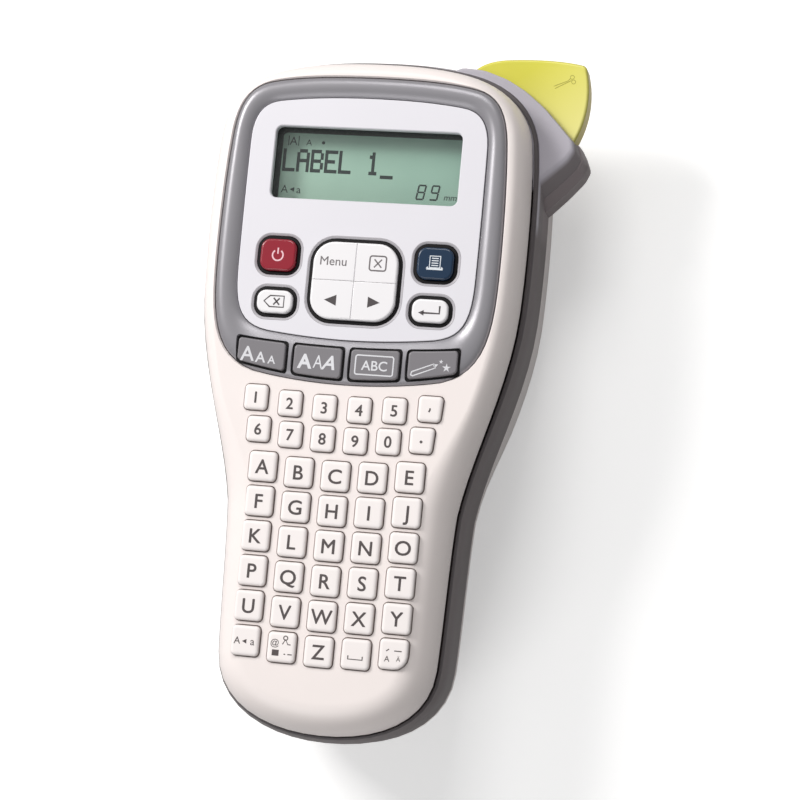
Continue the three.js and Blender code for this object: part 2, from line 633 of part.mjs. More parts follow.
// ---- cutter --------------------------------------------------------------------------------
const [px, py] = pivot;
const leverShape = new THREE.Shape();
const tipAngle = Math.asin((headTop + 3 - py) / leverReach);
const heel = THREE.MathUtils.degToRad(-36);
leverShape.moveTo(px - 5.6, py + 3);
leverShape.quadraticCurveTo(px - 4, py + 9.6, px + 6, py + 10.6);
leverShape.quadraticCurveTo(px + 20, py + 11.6, px + 29, py + 9.8);
leverShape.quadraticCurveTo(px + leverReach * Math.cos(tipAngle), py + 9.2,
  px + leverReach * Math.cos(tipAngle), py + leverReach * Math.sin(tipAngle));
leverShape.absarc(px, py, leverReach, tipAngle, heel, true);
leverShape.lineTo(px + 4, py - 5);
leverShape.lineTo(px - 4, py - 3.4);
leverShape.closePath();
const leverPoints = leverShape.getPoints(7)
  .filter((p, i, all) => p.distanceTo(all[(i + 1) % all.length]) > 0.05)
  .map((p) => [p.x, p.y]).reverse();
const tailY = py - 12;
let lever = join([
  prism(leverPoints, leverZ[0], leverZ[1]),
  box(px - 1.6, px + 2.4, tailY, py - 2, leverZ[0], leverZ[1] - 2),
]);
lever = cut(lever, [
  rod(pivot, pinRadius + 0.3, leverZ[0] - 1, leverZ[1] + 1, 20),
  rod(pivot, 4.9, leverZ[0] + 3.6, leverZ[1] + 1, 24),
]);
add('cutter_lever', lever, 0xdddc55, 0.4);
add('lever_pin', rod(pivot, pinRadius, ...pinZ, 20), 0xb9bcc2, 0.3, 1);

// Torsion spring: three turns of wire round the pin, inside the lever's pocket.
const springWire = 0.35;
const springTurns = 3;
const springFloor = leverZ[0] + 3.6 + springWire;
const springRise = wingZ[2] - leverZ[0] - 3.6 - 2 * springWire;
class Coil extends THREE.Curve {
  getPoint(t) {
    const angle = t * springTurns * 2 * Math.PI;
    return new THREE.Vector3(px + 3.5 * Math.cos(angle), py + 3.5 * Math.sin(angle),
      springFloor + springRise * t);
  }
}
const wireSection = new THREE.Shape();
wireSection.absarc(0, 0, springWire, 0, 2 * Math.PI, false);
const coil = new THREE.ExtrudeGeometry(wireSection, {
  steps: springTurns * 10, extrudePath: new Coil(), curveSegments: 2,
});
add('lever_spring', toManifold(coil), 0xc3c6cb, 0.3, 1);

const pushY = py - 10;
const carrier = join([
  box(19, 28, 38.6, 44.8, 5.8, 26.6),
  box(22, 28, 35.6, 38.9, plateTop, 26.6),
  rod([px - 3, pushY], 1.2, 26.2, leverZ[1] - 2.6, 12),
]);
add('blade_carrier', carrier, 0x55565c, 0.5);
const bladeEdge = tapeX + 1.3;
const bladeZ = [5.4, 20];
const bladeShape = [[bladeEdge, bladeFace], [25, bladeFace], [25, bladeFace + 0.6],
  [bladeEdge + 1.5, bladeFace + 0.6]];
add('cutter_blade', prism(bladeShape, ...bladeZ), 0xd4d7dc, 0.2, 1);
add('blade_anvil', box(10, tapeX - 0.45, bladeFace - 3, bladeFace - 0.3, bladeZ[0], plateZ),
  0xc9ccd1, 0.25, 1);

// ---- back cover and its latch --------------------------------------------------------------
const headWeight = (y) => THREE.MathUtils.smoothstep(y, waistY + 4, waistY + 32);
const backZ = (y) => gripBackZ * (1 - headWeight(y));
const coverRound = [[0, 0], [0.55, 0.2], [0.8, 2.8], [0.94, 6.6], [1, 11]];
const coverLoft = (inner) => loft([...coverRound].reverse().map(([t, inset]) => {
  const thick = inner ? wall : 0;
  const loop = grow(shellLoop, (y) => frameGrow(y) - thick - inset * (0.55 + 0.45 * headWeight(y)));
  return loop.map((p) => {
    const floor = backZ(p.y) + thick;
    return new THREE.Vector3(p.x, p.y, coverZ + (inner && t === 0 ? 1 : 0) - t * (coverZ - floor));
  });
}), true);
const latchHalf = 6;
const latchZ = [15, 24];
const latchFace = headTop + headGrow - wall - 0.5;
const slotX = [tapeX - 1.8, tapeX + 1.8];
const cover = cut(coverLoft(false), [
  coverLoft(true),
  box(...slotX, headTop - 5, headTop + 9, tapeZ - 1.5, coverZ + 2),
  box(-latchHalf - 0.3, latchHalf + 0.3, headTop - 5, headTop + 9, latchZ[0], latchZ[1] + 0.3),
]);
add('back_cover', cover, 0xf0ecea, 0.5);
const latch = join([
  box(-latchHalf, latchHalf, latchFace - 2.1, headTop + headGrow - 0.3, latchZ[0], latchZ[1]),
  box(-latchHalf - 2, latchHalf + 2, latchFace - 1.1, latchFace, latchZ[0] + 1.2, latchZ[1] + 1.5),
]);
add('cover_latch', latch, 0xdedadb, 0.5);

// ---- cells and their contacts --------------------------------------------------------------
const rowEnds = [bayEnd + 1.5, bayEnd + 3 + cellLength];
const contactTop = deckZ;
function cell(x, y0) {
  const nub = 1;
  const body = cellLength - nub;
  const profile = [[0, 0], [cellRadius, 0], [cellRadius, body], [1.9, body], [1.9, cellLength],
    [0, cellLength]].map((p) => new THREE.Vector2(...p));
  const geometry = new THREE.LatheGeometry(profile, 16);
  geometry.translate(x, y0, gripBackZ + wall + 0.8 + cellRadius);
  return toManifold(geometry);
}
const bayHalf = 1.5 * cellPitch + 0.4;
rowEnds.forEach((y0, row) => {
  for (let i = 0; i < 3; i++) {
    add(`cell_${row * 3 + i + 1}`, cell((i - 1) * cellPitch, y0), 0x3a6ea5, 0.35);
  }
});
const contactY = [bayEnd, rowEnds[0] + cellLength, rowEnds[1] + cellLength];
['contact_grip_end', 'contact_middle', 'contact_head_end'].forEach((name, i) => {
  add(name, box(-bayHalf, bayHalf, contactY[i], contactY[i] + 1.5, gripBackZ + wall + 1.5, contactTop),
    0xd0d2d6, 0.3, 1);
});

// ---- case screws ---------------------------------------------------------------------------
bosses.forEach((p, i) => {
  const screw = join([rod(p, 2.6, deckZ - 1.8, deckZ, 12), rod(p, 1.2, deckZ - 0.5, 45, 8)]);
  add(`case_screw_${i + 1}`, screw, 0x9da0a5, 0.3, 1);
});

export default part;
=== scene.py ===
import json
import math
import bmesh
import bpy
from mathutils import Matrix, Vector
from mathutils.geometry import interpolate_bezier


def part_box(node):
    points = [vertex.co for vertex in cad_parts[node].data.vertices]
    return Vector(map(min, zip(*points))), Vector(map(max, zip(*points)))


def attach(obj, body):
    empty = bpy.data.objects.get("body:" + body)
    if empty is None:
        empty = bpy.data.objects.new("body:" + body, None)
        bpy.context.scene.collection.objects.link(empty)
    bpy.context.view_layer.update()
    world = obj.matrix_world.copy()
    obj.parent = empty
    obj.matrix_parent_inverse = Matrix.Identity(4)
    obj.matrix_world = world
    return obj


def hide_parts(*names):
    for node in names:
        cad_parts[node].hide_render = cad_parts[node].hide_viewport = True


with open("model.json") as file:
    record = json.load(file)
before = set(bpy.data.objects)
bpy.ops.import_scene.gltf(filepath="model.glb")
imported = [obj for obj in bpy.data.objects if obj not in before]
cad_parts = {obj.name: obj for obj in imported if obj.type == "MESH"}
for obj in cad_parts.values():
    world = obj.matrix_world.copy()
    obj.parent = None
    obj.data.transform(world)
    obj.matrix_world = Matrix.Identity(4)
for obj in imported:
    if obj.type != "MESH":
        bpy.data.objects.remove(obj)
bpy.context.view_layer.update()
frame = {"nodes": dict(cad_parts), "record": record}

# ---- Camera, light and floor -------------------
# The label maker lies on its back on a plain white table, seen from above, a little from its right
# and its grip end. A soft lamp stands at the upper left, one at the tape end and a weak one at the
# grip. The table throws back less light than it shows, so that the white sides keep their shading.
scene = bpy.context.scene
tilt, lean, roll = (math.radians(a) for a in (-6.24, -12.0, -5.34))
turn = (Matrix.Rotation(roll, 3, "Z") @ Matrix.Rotation(tilt, 3, "X") @ Matrix.Rotation(lean, 3, "Y"))
stand_off = turn.transposed() @ Vector((18.97, 22.62, 650)) * 0.975
looked_at = Vector((0, -72, 57))
camera_spot = (stand_off + looked_at) / 1000
camera = bpy.data.objects.new("camera", bpy.data.cameras.new("camera"))
camera.matrix_world = Matrix.Translation(camera_spot) @ turn.transposed().to_4x4()
camera.data.lens = 98.96
camera.data.clip_start = 0.05
scene.collection.objects.link(camera)
scene.camera = camera

for name, spot, power, size, tint in (
        ("key_light", (-0.76, 0.44, 0.82), 8.9, 0.34, (1, 0.985, 0.97)),
        ("top_light", (-0.05, 0.85, 0.95), 5.1, 0.5, (1, 0.99, 0.98)),
        ("grip_light", (-0.35, -0.8, 0.8), 2.5, 0.6, (1, 1, 1))):
    lamp = bpy.data.lights.new(name, "AREA")
    lamp.energy, lamp.size, lamp.color = power, size, tint
    lamp_holder = bpy.data.objects.new(name, lamp)
    lamp_holder.location = spot
    aim = Vector((0, -0.04, 0.03)) - Vector(spot)
    lamp_holder.rotation_euler = aim.to_track_quat("-Z", "Y").to_euler()
    scene.collection.objects.link(lamp_holder)

scene.view_settings.view_transform = "Standard"
sky = bpy.data.worlds.new("studio")
sky.use_nodes = True
sky.node_tree.nodes["Background"].inputs["Color"].default_value = (1, 1, 1, 1)


def cast_and_shown(tree, socket, cast, shown):
    """One value for the light a surface gives to others, another for how it looks itself."""
    ray, amount = tree.nodes.new("ShaderNodeLightPath"), tree.nodes.new("ShaderNodeMapRange")
    amount.inputs["To Min"].default_value, amount.inputs["To Max"].default_value = cast, shown
    tree.links.new(ray.outputs["Is Camera Ray"], amount.inputs["Value"])
    tree.links.new(amount.outputs["Result"], socket)


cast_and_shown(sky.node_tree, sky.node_tree.nodes["Background"].inputs["Strength"], 0.28, 0.95)
scene.world = sky

floor_mesh = bpy.data.meshes.new("floor")
bm = bmesh.new()
bmesh.ops.create_grid(bm, x_segments=1, y_segments=1, size=3)
bm.to_mesh(floor_mesh)
bm.free()
floor = bpy.data.objects.new("floor", floor_mesh)
floor.location.z = -0.0005
floor_paint = bpy.data.materials.new("table_white")
floor_paint.use_nodes = True
table = floor_paint.node_tree.nodes["Principled BSDF"]
table.inputs["Roughness"].default_value = 0.9
table.inputs["Emission Color"].default_value = (1, 1, 1, 1)
cast_and_shown(floor_paint.node_tree, table.inputs["Base Color"], 0.56, 0.95)
cast_and_shown(floor_paint.node_tree, table.inputs["Emission Strength"], 0.0, 0.32)
floor_mesh.materials.append(floor_paint)
scene.collection.objects.link(floor)

# ---- White top shell ---------------------------
# The upper half of the casing: one satin white ABS moulding, pinched between head and grip, with a
# soft rounded edge. It is cut through for the control ring and for each of the 42 character keys.
mm = 0.001
face_z, seam_z, shell_under = 57, 45, 54.8
grip_half, neck = 33.2, 34.3
head_top, grip_end, waist_y = 52.3, -146.5, -80


def outline(start, curves, steps=10):
    """Half outline from cubic curves down the right side, mirrored: anticlockwise from above."""
    right = [Vector((*start, 0))]
    for pull_a, pull_b, end in curves:
        right += interpolate_bezier(right[-1], (*pull_a, 0), (*pull_b, 0), (*end, 0), steps + 1)[1:]
    left = [Vector((-p.x, p.y, 0)) for p in reversed(right[1:-1])]
    return list(reversed(right + left))


def grown(loop, amount):
    """Every point of a loop moved outward by a distance, or by a function of its y."""
    moved = []
    for i, p in enumerate(loop):
        before, after = loop[i - 1], loop[(i + 1) % len(loop)]
        along = ((p - before).normalized() + (after - p).normalized()).normalized()
        d = amount(p.y) if callable(amount) else amount
        moved.append(Vector((p.x + along.y * d, p.y - along.x * d, 0)))
    return moved


def ease(y, low, high):
    """A smooth step from 0 at low to 1 at high."""
    t = min(max((y - low) / (high - low), 0), 1)
    return t * t * (3 - 2 * t)


def raised(loop, z):
    """A loop at one height, or at a height given as a function of the point."""
    return [Vector((p[0], p[1], z(p) if callable(z) else z)) for p in loop]


def ring_of(bm, loop):
    """A closed line of edges through the points of a loop."""
    verts = [bm.verts.new(p) for p in loop]
    return [bm.edges.new((verts[i - 1], verts[i])) for i in range(len(verts))]


def loft(loops, closed_ends=True):
    """A skin bridged band by band through loops of equal length, then welded."""
    bm = bmesh.new()
    if not closed_ends:
        loops = loops + loops[:1]
    for lower, upper in zip(loops, loops[1:]):
        bmesh.ops.bridge_loops(bm, edges=ring_of(bm, lower) + ring_of(bm, upper))
    if closed_ends:
        for end in (loops[0], loops[-1]):
            bmesh.ops.edgeloop_fill(bm, edges=ring_of(bm, end))
    bmesh.ops.remove_doubles(bm, verts=bm.verts, dist=1e-4)
    bmesh.ops.recalc_face_normals(bm, faces=bm.faces)
    return bm


def slab(points, low, high, rounding=0.0, segments=3, under=0.0):
    """A flat outline extruded between two heights, its top (and bottom) edge rounded over."""
    bm = bmesh.new()
    bm.faces.new([bm.verts.new((p[0], p[1], low)) for p in points])
    up = bmesh.ops.extrude_face_region(bm, geom=list(bm.faces))["geom"]
    top_corners = [v for v in up if isinstance(v, bmesh.types.BMVert)]
    bmesh.ops.translate(bm, vec=(0, 0, high - low), verts=top_corners)
    bmesh.ops.recalc_face_normals(bm, faces=bm.faces)
    for level, size in ((high, rounding), (low, under)):
        if size:
            rim = [e for e in bm.edges if all(abs(v.co.z - level) < 1e-4 for v in e.verts)]
            bmesh.ops.bevel(bm, geom=rim, offset=size, affect="EDGES", segments=segments, profile=0.5,
                            material=-1, clamp_overlap=True)
    return bm


def rounded(w, h, r, x=0.0, y=0.0, d=0.0, steps=4, lean=0.0, foot=0.0):
    """Rounded rectangle at (x, y), grown by d; lean slants its right side, foot rounds its lower right."""
    points = []
    for quarter, (sx, sy) in enumerate(((1, 1), (-1, 1), (-1, -1), (1, -1))):
        corner = (foot if foot and (sx, sy) == (1, -1) else r) + d
        for i in range(steps + 1):
            angle = (quarter + i / steps) * math.pi / 2
            px = sx * (w / 2 + d - corner) + corner * math.cos(angle)
            py = sy * (h / 2 + d - corner) + corner * math.sin(angle)
            points.append((x + px + lean * max(px, 0) * py / (w * h / 2), y + py))
    return points


def rod(x, y, radius, low, high, sides=32):
    """An upright round bar."""
    return slab([(x + radius * math.cos(a), y + radius * math.sin(a))
                 for a in (2 * math.pi * i / sides for i in range(sides))], low, high)


def block(x0, x1, y0, y1, z0, z1):
    return slab([(x0, y0), (x1, y0), (x1, y1), (x0, y1)], z0, z1)


def together(*parts):
    """Several separate meshes in one."""
    whole = bmesh.new()
    for part in parts:
        mesh = bpy.data.meshes.new("part")
        part.to_mesh(mesh)
        part.free()
        whole.from_mesh(mesh)
        bpy.data.meshes.remove(mesh)
    return whole


def carve(bm, tool, how="DIFFERENCE"):
    """One mesh cut by another, or joined to it."""
    held = []
    for part in (bm, tool):
        mesh = bpy.data.meshes.new("part")
        part.to_mesh(mesh)
        part.free()
        held.append(bpy.data.objects.new("part", mesh))
        scene.collection.objects.link(held[-1])
    cut = held[0].modifiers.new("cut", "BOOLEAN")
    cut.object, cut.operation, cut.solver = held[1], how, "EXACT"
    result = bmesh.new()
    result.from_object(held[0], bpy.context.evaluated_depsgraph_get())
    for part in held:
        bpy.data.meshes.remove(part.data)
    bmesh.ops.remove_doubles(result, verts=result.verts, dist=1e-4)
    return result


def colour(r, g, b):
    """A screen colour, 0 to 255, as the linear light value a shader takes."""
    return tuple(c / 12.92 if c <= 0.04045 else ((c + 0.055) / 1.055) ** 2.4
                 for c in (r / 255, g / 255, b / 255)) + (1,)


def finish(name, tone, rough, cloud=0.02, grain=0.002, grain_size=0.2, metal=0.0, coat=0.0, spread=0.06,
           alpha=1.0, stretch=(1, 1, 1), specular=0.5):
    """Moulded or machined finish: a slow drift of tone, uneven gloss and a fine surface grain.
    grain is the height of the grain in mm, grain_size its width in mm."""
    material = bpy.data.materials.new(name)
    material.use_nodes = True
    nodes, links = material.node_tree.nodes, material.node_tree.links
    shader = nodes["Principled BSDF"]
    for socket, value in (("Metallic", metal), ("Coat Weight", coat), ("Coat Roughness", 0.15),
                          ("Specular IOR Level", specular), ("Alpha", alpha)):
        shader.inputs[socket].default_value = value
    place = nodes.new("ShaderNodeTexCoord")
    aim = nodes.new("ShaderNodeMapping")
    aim.inputs["Scale"].default_value = stretch
    links.new(place.outputs["Object"], aim.inputs["Vector"])
    drift = nodes.new("ShaderNodeTexNoise")
    drift.inputs["Scale"].default_value = 35
    drift.inputs["Detail"].default_value = 4
    links.new(aim.outputs["Vector"], drift.inputs["Vector"])
    ramp = nodes.new("ShaderNodeValToRGB")
    base = colour(*tone)
    ramp.color_ramp.elements[0].position, ramp.color_ramp.elements[1].position = 0.3, 0.7
    ramp.color_ramp.elements[0].color = tuple(c * (1 - cloud) for c in base[:3]) + (1,)
    ramp.color_ramp.elements[1].color = tuple(min(c * (1 + cloud), 1) for c in base[:3]) + (1,)
    links.new(drift.outputs["Fac"], ramp.inputs["Fac"])
    links.new(ramp.outputs["Color"], shader.inputs["Base Color"])
    fine = nodes.new("ShaderNodeTexNoise")
    fine.inputs["Scale"].default_value = 1 / (grain_size * mm)
    fine.inputs["Detail"].default_value = 3
    links.new(aim.outputs["Vector"], fine.inputs["Vector"])
    gloss = nodes.new("ShaderNodeMapRange")
    gloss.inputs["To Min"].default_value = max(rough - spread, 0.02)
    gloss.inputs["To Max"].default_value = rough + spread
    links.new(fine.outputs["Fac"], gloss.inputs["Value"])
    links.new(gloss.outputs["Result"], shader.inputs["Roughness"])
    bump = nodes.new("ShaderNodeBump")
    bump.inputs["Strength"].default_value = 0.6
    bump.inputs["Distance"].default_value = grain * mm
    links.new(fine.outputs["Fac"], bump.inputs["Height"])
    links.new(bump.outputs["Normal"], shader.inputs["Normal"])
    return material


def place(name, bm, body, slot, materials, stands_for=(), crease=32):
    """Finishes a piece: scaled to metres, shaded, given its materials and tied to its body."""
    bmesh.ops.scale(bm, vec=(mm, mm, mm), verts=bm.verts)
    mesh = bpy.data.meshes.new(name)
    bm.to_mesh(mesh)
    bm.free()
    mesh.shade_smooth()
    mesh.set_sharp_from_angle(angle=math.radians(crease))
    for material in materials:
        mesh.materials.append(material)
    piece = bpy.data.objects.new(name, mesh)
    scene.collection.objects.link(piece)
    piece.modifiers.new("steady", "WEIGHTED_NORMAL").keep_sharp = True
    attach(piece, body)
    if stands_for:
        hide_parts(*stands_for)


casing_line = outline((0, head_top), [
    ((12, head_top), (22, 51.5), (30, 49)),
    ((39, 46), (45, 40), (46.6, 31.3)),
    ((48.2, 20.3), (48.3, -5), (47.4, -20)),
    ((46, -42), (neck + 2.7, waist_y + 18), (neck, waist_y)),
    ((33.3, -92), (grip_half, -112), (32.4, -125)),
    ((31.4, -140), (16.6, grip_end), (0, grip_end)),
])
ring_line = outline((0, 45.9), [
    ((14, 45.9), (24, 45.2), (31, 43.6)),
    ((38, 42), (40.6, 36), (41.2, 26)),
    ((42.2, 14), (42.4, -6), (42, -16)),
    ((41.4, -31), (38.5, -39.5), (28, -42.6)),
    ((20, -44.3), (9, -45.2), (0, -45.2)),
])
between = lambda grip, head: lambda y: grip + (head - grip) * ease(y, waist_y, -48)

# Character keys: two rows of six small ones under the ring, then six rows of five. In the last
# row a stands for the case key, o for symbols, _ for the space and x for accents.
character_keys, row_bow = [], 0.0027
for row, (top, pitch) in enumerate(((-52.5, 10.35), (-61.5, 9.7))):
    for i in range(6):
        x = (i - 2.5) * pitch
        character_keys.append(dict(x=x, y=top + row_bow * x * x, w=7.1, h=7.6, lean=0.5 if i == 5 else 0,
                                   foot=0, sign=("12345,", "67890.")[row][i]))
for row, signs in enumerate(("ABCDE", "FGHIJ", "KLMNO", "PQRST", "UVWXY", "aoZ_x")):
    for i in range(5):
        x = (i - 2) * 10.92
        character_keys.append(dict(x=x, y=-72 - 10.09 * row + row_bow * x * x, w=8.5, h=8.8, lean=0,
                                   foot=4 if (row, i) == (5, 4) else 0, sign=signs[i]))


def key_line(key, d=0.0):
    """Outline of a character key, grown by d."""
    return rounded(key["w"], key["h"], 1.3, key["x"], key["y"], d, 4, key["lean"], key["foot"])


edge_round = interpolate_bezier((0, 46, 0), (-0.6, 52.3, 0), (-4.5, 56.9, 0), (-9.6, face_z, 0), 12)
head_round = interpolate_bezier((0, 46, 0), (-0.3, 52.3, 0), (-2.2, 56.9, 0), (-5.2, face_z, 0), 12)
seam_levels = ((-0.9, 44.2), (-0.9, seam_z), (-0.25, seam_z), (0, seam_z + 0.25))
edge_levels = [(between(g.x, h.x), g.y) for g, h in zip(edge_round, head_round)]
shell = loft([raised(grown(casing_line, d), z) for d, z in [*seam_levels, *edge_levels]])
room = ((-2.9, 43), (between(-3.3, -2.9), 50), (between(-5.6, -3), 53), (between(-9.5, -3.1), shell_under))
shell = carve(shell, loft([raised(grown(casing_line, d), z) for d, z in room]))
ring_opening = ((0.25, 52), (0.25, 56.5), (0.65, 57.05), (0.65, 59))
key_opening = ((0.14, 52), (0.14, 56.75), (0.28, 57.02), (0.28, 59))
openings = [loft([raised(grown(ring_line, d), z) for d, z in ring_opening])]
openings += [loft([raised(key_line(key, d), z) for d, z in key_opening]) for key in character_keys]
shell = carve(shell, together(*openings))
screw_spots = [(42.6, 8), (-42.6, 8), (17, -134), (-17, -134)]
posts = together(*[rod(x, y, 3, 34.6, 52.5 if y > 0 else 54.9, 24) for x, y in screw_spots])
screw_radius = 1.5
shell = carve(carve(shell, posts, "UNION"),
              together(*[rod(x, y, screw_radius, 34, 46, 24) for x, y in screw_spots]))
shell_white = finish("satin_white_shell", (248, 239, 236), 0.38, cloud=0.012, grain=0.006, grain_size=0.35,
                     spread=0.05)
place("casing_top_shell", shell, "casing", "shell_white", [shell_white], ["top_shell"])

# ---- Control ring ------------------------------
# A silver gray painted frame clipped into the shell round the display and controls. Its face is
# domed, and its broad lower band has four windows for the function keys.
panel_line = outline((0, 39.9), [
    ((12, 39.9), (21, 39.2), (27.5, 38.2)),
    ((33.2, 37.3), (35.8, 33.5), (35.8, 25)),
    ((35.9, 10), (35.9, -2), (35.7, -14)),
    ((35.4, -25), (33, -29.6), (25, -30.9)),
    ((17, -31.9), (8, -32.5), (0, -32.5)),
])
panel_under = 55
dome = [(0, 56.3), (0.04, 56.85), (0.1, 57.3), (0.18, 57.6), (0.28, 57.8), (0.4, 57.9), (0.55, 57.88),
        (0.68, 57.72), (0.8, 57.45), (0.9, 57.12), (0.97, 56.8), (1, 56.55)]
across = lambda t: [a.lerp(b, t) for a, b in zip(ring_line, panel_line)]
ring = loft([raised(grown(ring_line, 0.8), 53.3), raised(grown(ring_line, 0.8), shell_under),
             raised(ring_line, shell_under)]
            + [raised(across(t), z) for t, z in dome]
            + [raised(panel_line, panel_under), raised(grown(panel_line, -1.5), panel_under),
               raised(grown(panel_line, -1.5), 53.3)], closed_ends=False)


def arc(radius, start, end, steps=16, x=0.0, y=0.0):
    """Points on an arc round (x, y), from one angle in degrees to another."""
    angles = [math.radians(start + (end - start) * i / steps) for i in range(steps + 1)]
    return [(x + radius * math.cos(a), y + radius * math.sin(a)) for a in angles]


def band_key(x0, x1, d=0.0, corner=1.1, steps=8):
    """Outline of a function key, between two curves that follow the band."""
    low = lambda x: -44.0 + 0.0034 * x * x - d
    high = lambda x: -34.6 + 0.00145 * x * x + d
    x0, x1 = x0 - d, x1 + d
    xs = [x0 + corner + (x1 - x0 - 2 * corner) * i / steps for i in range(steps + 1)]
    lower, upper = [(x, low(x)) for x in xs], [(x, high(x)) for x in reversed(xs)]
    turn_of = lambda x, y, start: arc(corner, start + 22.5, start + 67.5, 2, x, y)
    right = (turn_of(x1 - corner, low(x1) + corner, -90) + [(x1, low(x1) + corner), (x1, high(x1) - corner)]
             + turn_of(x1 - corner, high(x1) - corner, 0))
    left = (turn_of(x0 + corner, high(x0) - corner, 90) + [(x0, high(x0) - corner), (x0, low(x0) + corner)]
            + turn_of(x0 + corner, low(x0) + corner, 180))
    return lower + right + upper + left


function_spans = {"size_key": (-33, -18), "style_key": (-16, -1),
                  "frame_key": (1, 16), "effect_key": (18, 33)}
band_opening = ((0.4, 50), (0.4, 57.5), (0.6, 57.95), (0.6, 60))
ring = carve(ring, together(*[loft([raised(band_key(*span, d), z) for d, z in band_opening])
                              for span in function_spans.values()]))
ring_gray = finish("silver_gray_ring", (152, 150, 155), 0.33, cloud=0.02, grain=0.003, metal=0.25,
                   spread=0.04)
place("control_ring", ring, "casing", "ring_gray", [ring_gray], ["head_ring"])

# ---- Printing of signs -------------------------
# Legends are pad printed: a thin film of ink standing a few hundredths of a millimetre proud of
# the key it is on, letters drawn in a plain sans and icons in lines of even width.
film = 0.05
capital_height = 0.729  # of a letter at size 1


def made_flat(curve, x, y, z, height=None, slant=0.0, squeeze=1.0):
    """A text or line curve made mesh, thinned to a film of ink and put at (x, y) on height z."""
    holder = bpy.data.objects.new("ink", curve)
    scene.collection.objects.link(holder)
    shaped = holder.evaluated_get(bpy.context.evaluated_depsgraph_get())
    bm = bmesh.new()
    bm.from_mesh(shaped.to_mesh())
    shaped.to_mesh_clear()
    bpy.data.curves.remove(curve)
    low = Vector([min(v.co[i] for v in bm.verts) for i in range(3)])
    high = Vector([max(v.co[i] for v in bm.verts) for i in range(3)])
    size = height / capital_height if height else 1
    for v in bm.verts:
        up = (v.co.z - low.z) / (high.z - low.z) * film
        if height:
            v.co = Vector(((v.co.x - (low.x + high.x) / 2) * size * squeeze + slant * (v.co.y * size),
                           (v.co.y - capital_height / 2) * size, 0)) + Vector((x, y, z + up))
        else:
            v.co = Vector((v.co.x + x, v.co.y + y, z + up))
    bmesh.ops.remove_doubles(bm, verts=bm.verts, dist=1e-4)
    return bm


def lettering(text, height, x, y, z, weight=0.0, slant=0.0, squeeze=1.0):
    """Plain sans letters of a capital height, centred on (x, y)."""
    curve = bpy.data.curves.new("letters", "FONT")
    curve.body, curve.size, curve.extrude, curve.offset = text, 1, 0.02, weight
    curve.resolution_u = 4
    return made_flat(curve, x, y, z, height, slant, squeeze=squeeze)


def stroke(points, width, x, y, z, closed=False):
    """A line of even width through points."""
    curve = bpy.data.curves.new("line", "CURVE")
    curve.dimensions, curve.bevel_depth, curve.bevel_resolution = "3D", width / 2, 1
    curve.use_fill_caps = True
    line = curve.splines.new("POLY")
    line.points.add(len(points) - 1)
    for spot, (px, py) in zip(line.points, points):
        spot.co = (px, py, 0, 1)
    line.use_cyclic_u = closed
    return made_flat(curve, x, y, z)


def patch(points, x, y, z):
    """A filled shape in ink."""
    return slab([(px + x, py + y) for px, py in points], z, z + film)


def inked(cap, *marks):
    """A cap with its marks as the second material."""
    marks = together(*marks)
    for face in marks.faces:
        face.material_index = 1
    return together(cap, marks)


def ink(name, tone):
    """Matt printing ink."""
    return finish(name, tone, 0.5, cloud=0.05, grain_size=0.15, spread=0.08)


# ---- Function keys -----------------------------
# Four satin gray keys in the ring's lower band, for size, style, frame and effect. Each is one
# moulding with a flange that holds it under the ring and a foot on its switch; legends are white.
key_top, switch_top = 58.4, 49.4
white_ink = ink("white_key_ink", (222, 222, 226))
function_gray = finish("satin_gray_keys", (131, 128, 132), 0.36, cloud=0.02, grain=0.004, grain_size=0.25,
                       coat=0.1)
frame_sign, effect_sign = (8.5, -39.3, key_top), (25.0, -39.2, key_top)
wand = [(-5.6, -2.0), (-5.3, -1.1), (0.9, 1.5), (1.5, 0.4), (-5.0, -2.3)]
wand_tip = [(0.6, 1.45), (1.3, 0.25), (2.2, 1.5)]


def star(r):
    """A star with five points, the largest radius r."""
    turns = [(r * (0.36 if i % 2 else 1), math.radians(36 * i)) for i in range(10)]
    return [(reach * math.sin(a), reach * math.cos(a)) for reach, a in turns]


def foot(x, y, top):
    """The square foot under a key that presses its switch."""
    return block(x - 2, x + 2, y - 2, y + 2, switch_top, top)


function_marks = {
    "size_key": [lettering("A", 4.4, -29.6, -38.0, key_top, 0.012),
                 lettering("A", 3.2, -25.6, -38.9, key_top, 0.015),
                 lettering("A", 2.4, -22.2, -39.5, key_top, 0.015)],
    "style_key": [lettering("A", 4.2, -12.2, -39.2, key_top, 0.03),
                  lettering("A", 4.0, -8.3, -39.1, key_top, 0, 0.05, 0.75),
                  lettering("A", 4.2, -5.2, -39.2, key_top, 0.02, 0.28)],
    "frame_key": [lettering("ABC", 2.9, *frame_sign, 0.012),
                  stroke(rounded(11.2, 5.6, 0.6), 0.4, *frame_sign, True)],
    "effect_key": [stroke(wand, 0.42, *effect_sign, True), patch(wand_tip, *effect_sign),
                   patch(star(1.35), 29.7, -38.6, key_top), patch(star(0.7), 28.0, -36.9, key_top)],
}
for name, span in function_spans.items():
    cap = slab(band_key(*span, -0.3), 52.9, key_top, rounding=0.5)
    flange = slab(band_key(*span, 0.8), 51.9, 53.3)
    cap = carve(carve(cap, flange, "UNION"), foot(sum(span) / 2, -39.3, 52.1), "UNION")
    place(name + "_cap", inked(cap, *function_marks[name]), name, "key_gray", [function_gray, white_ink],
          [name])

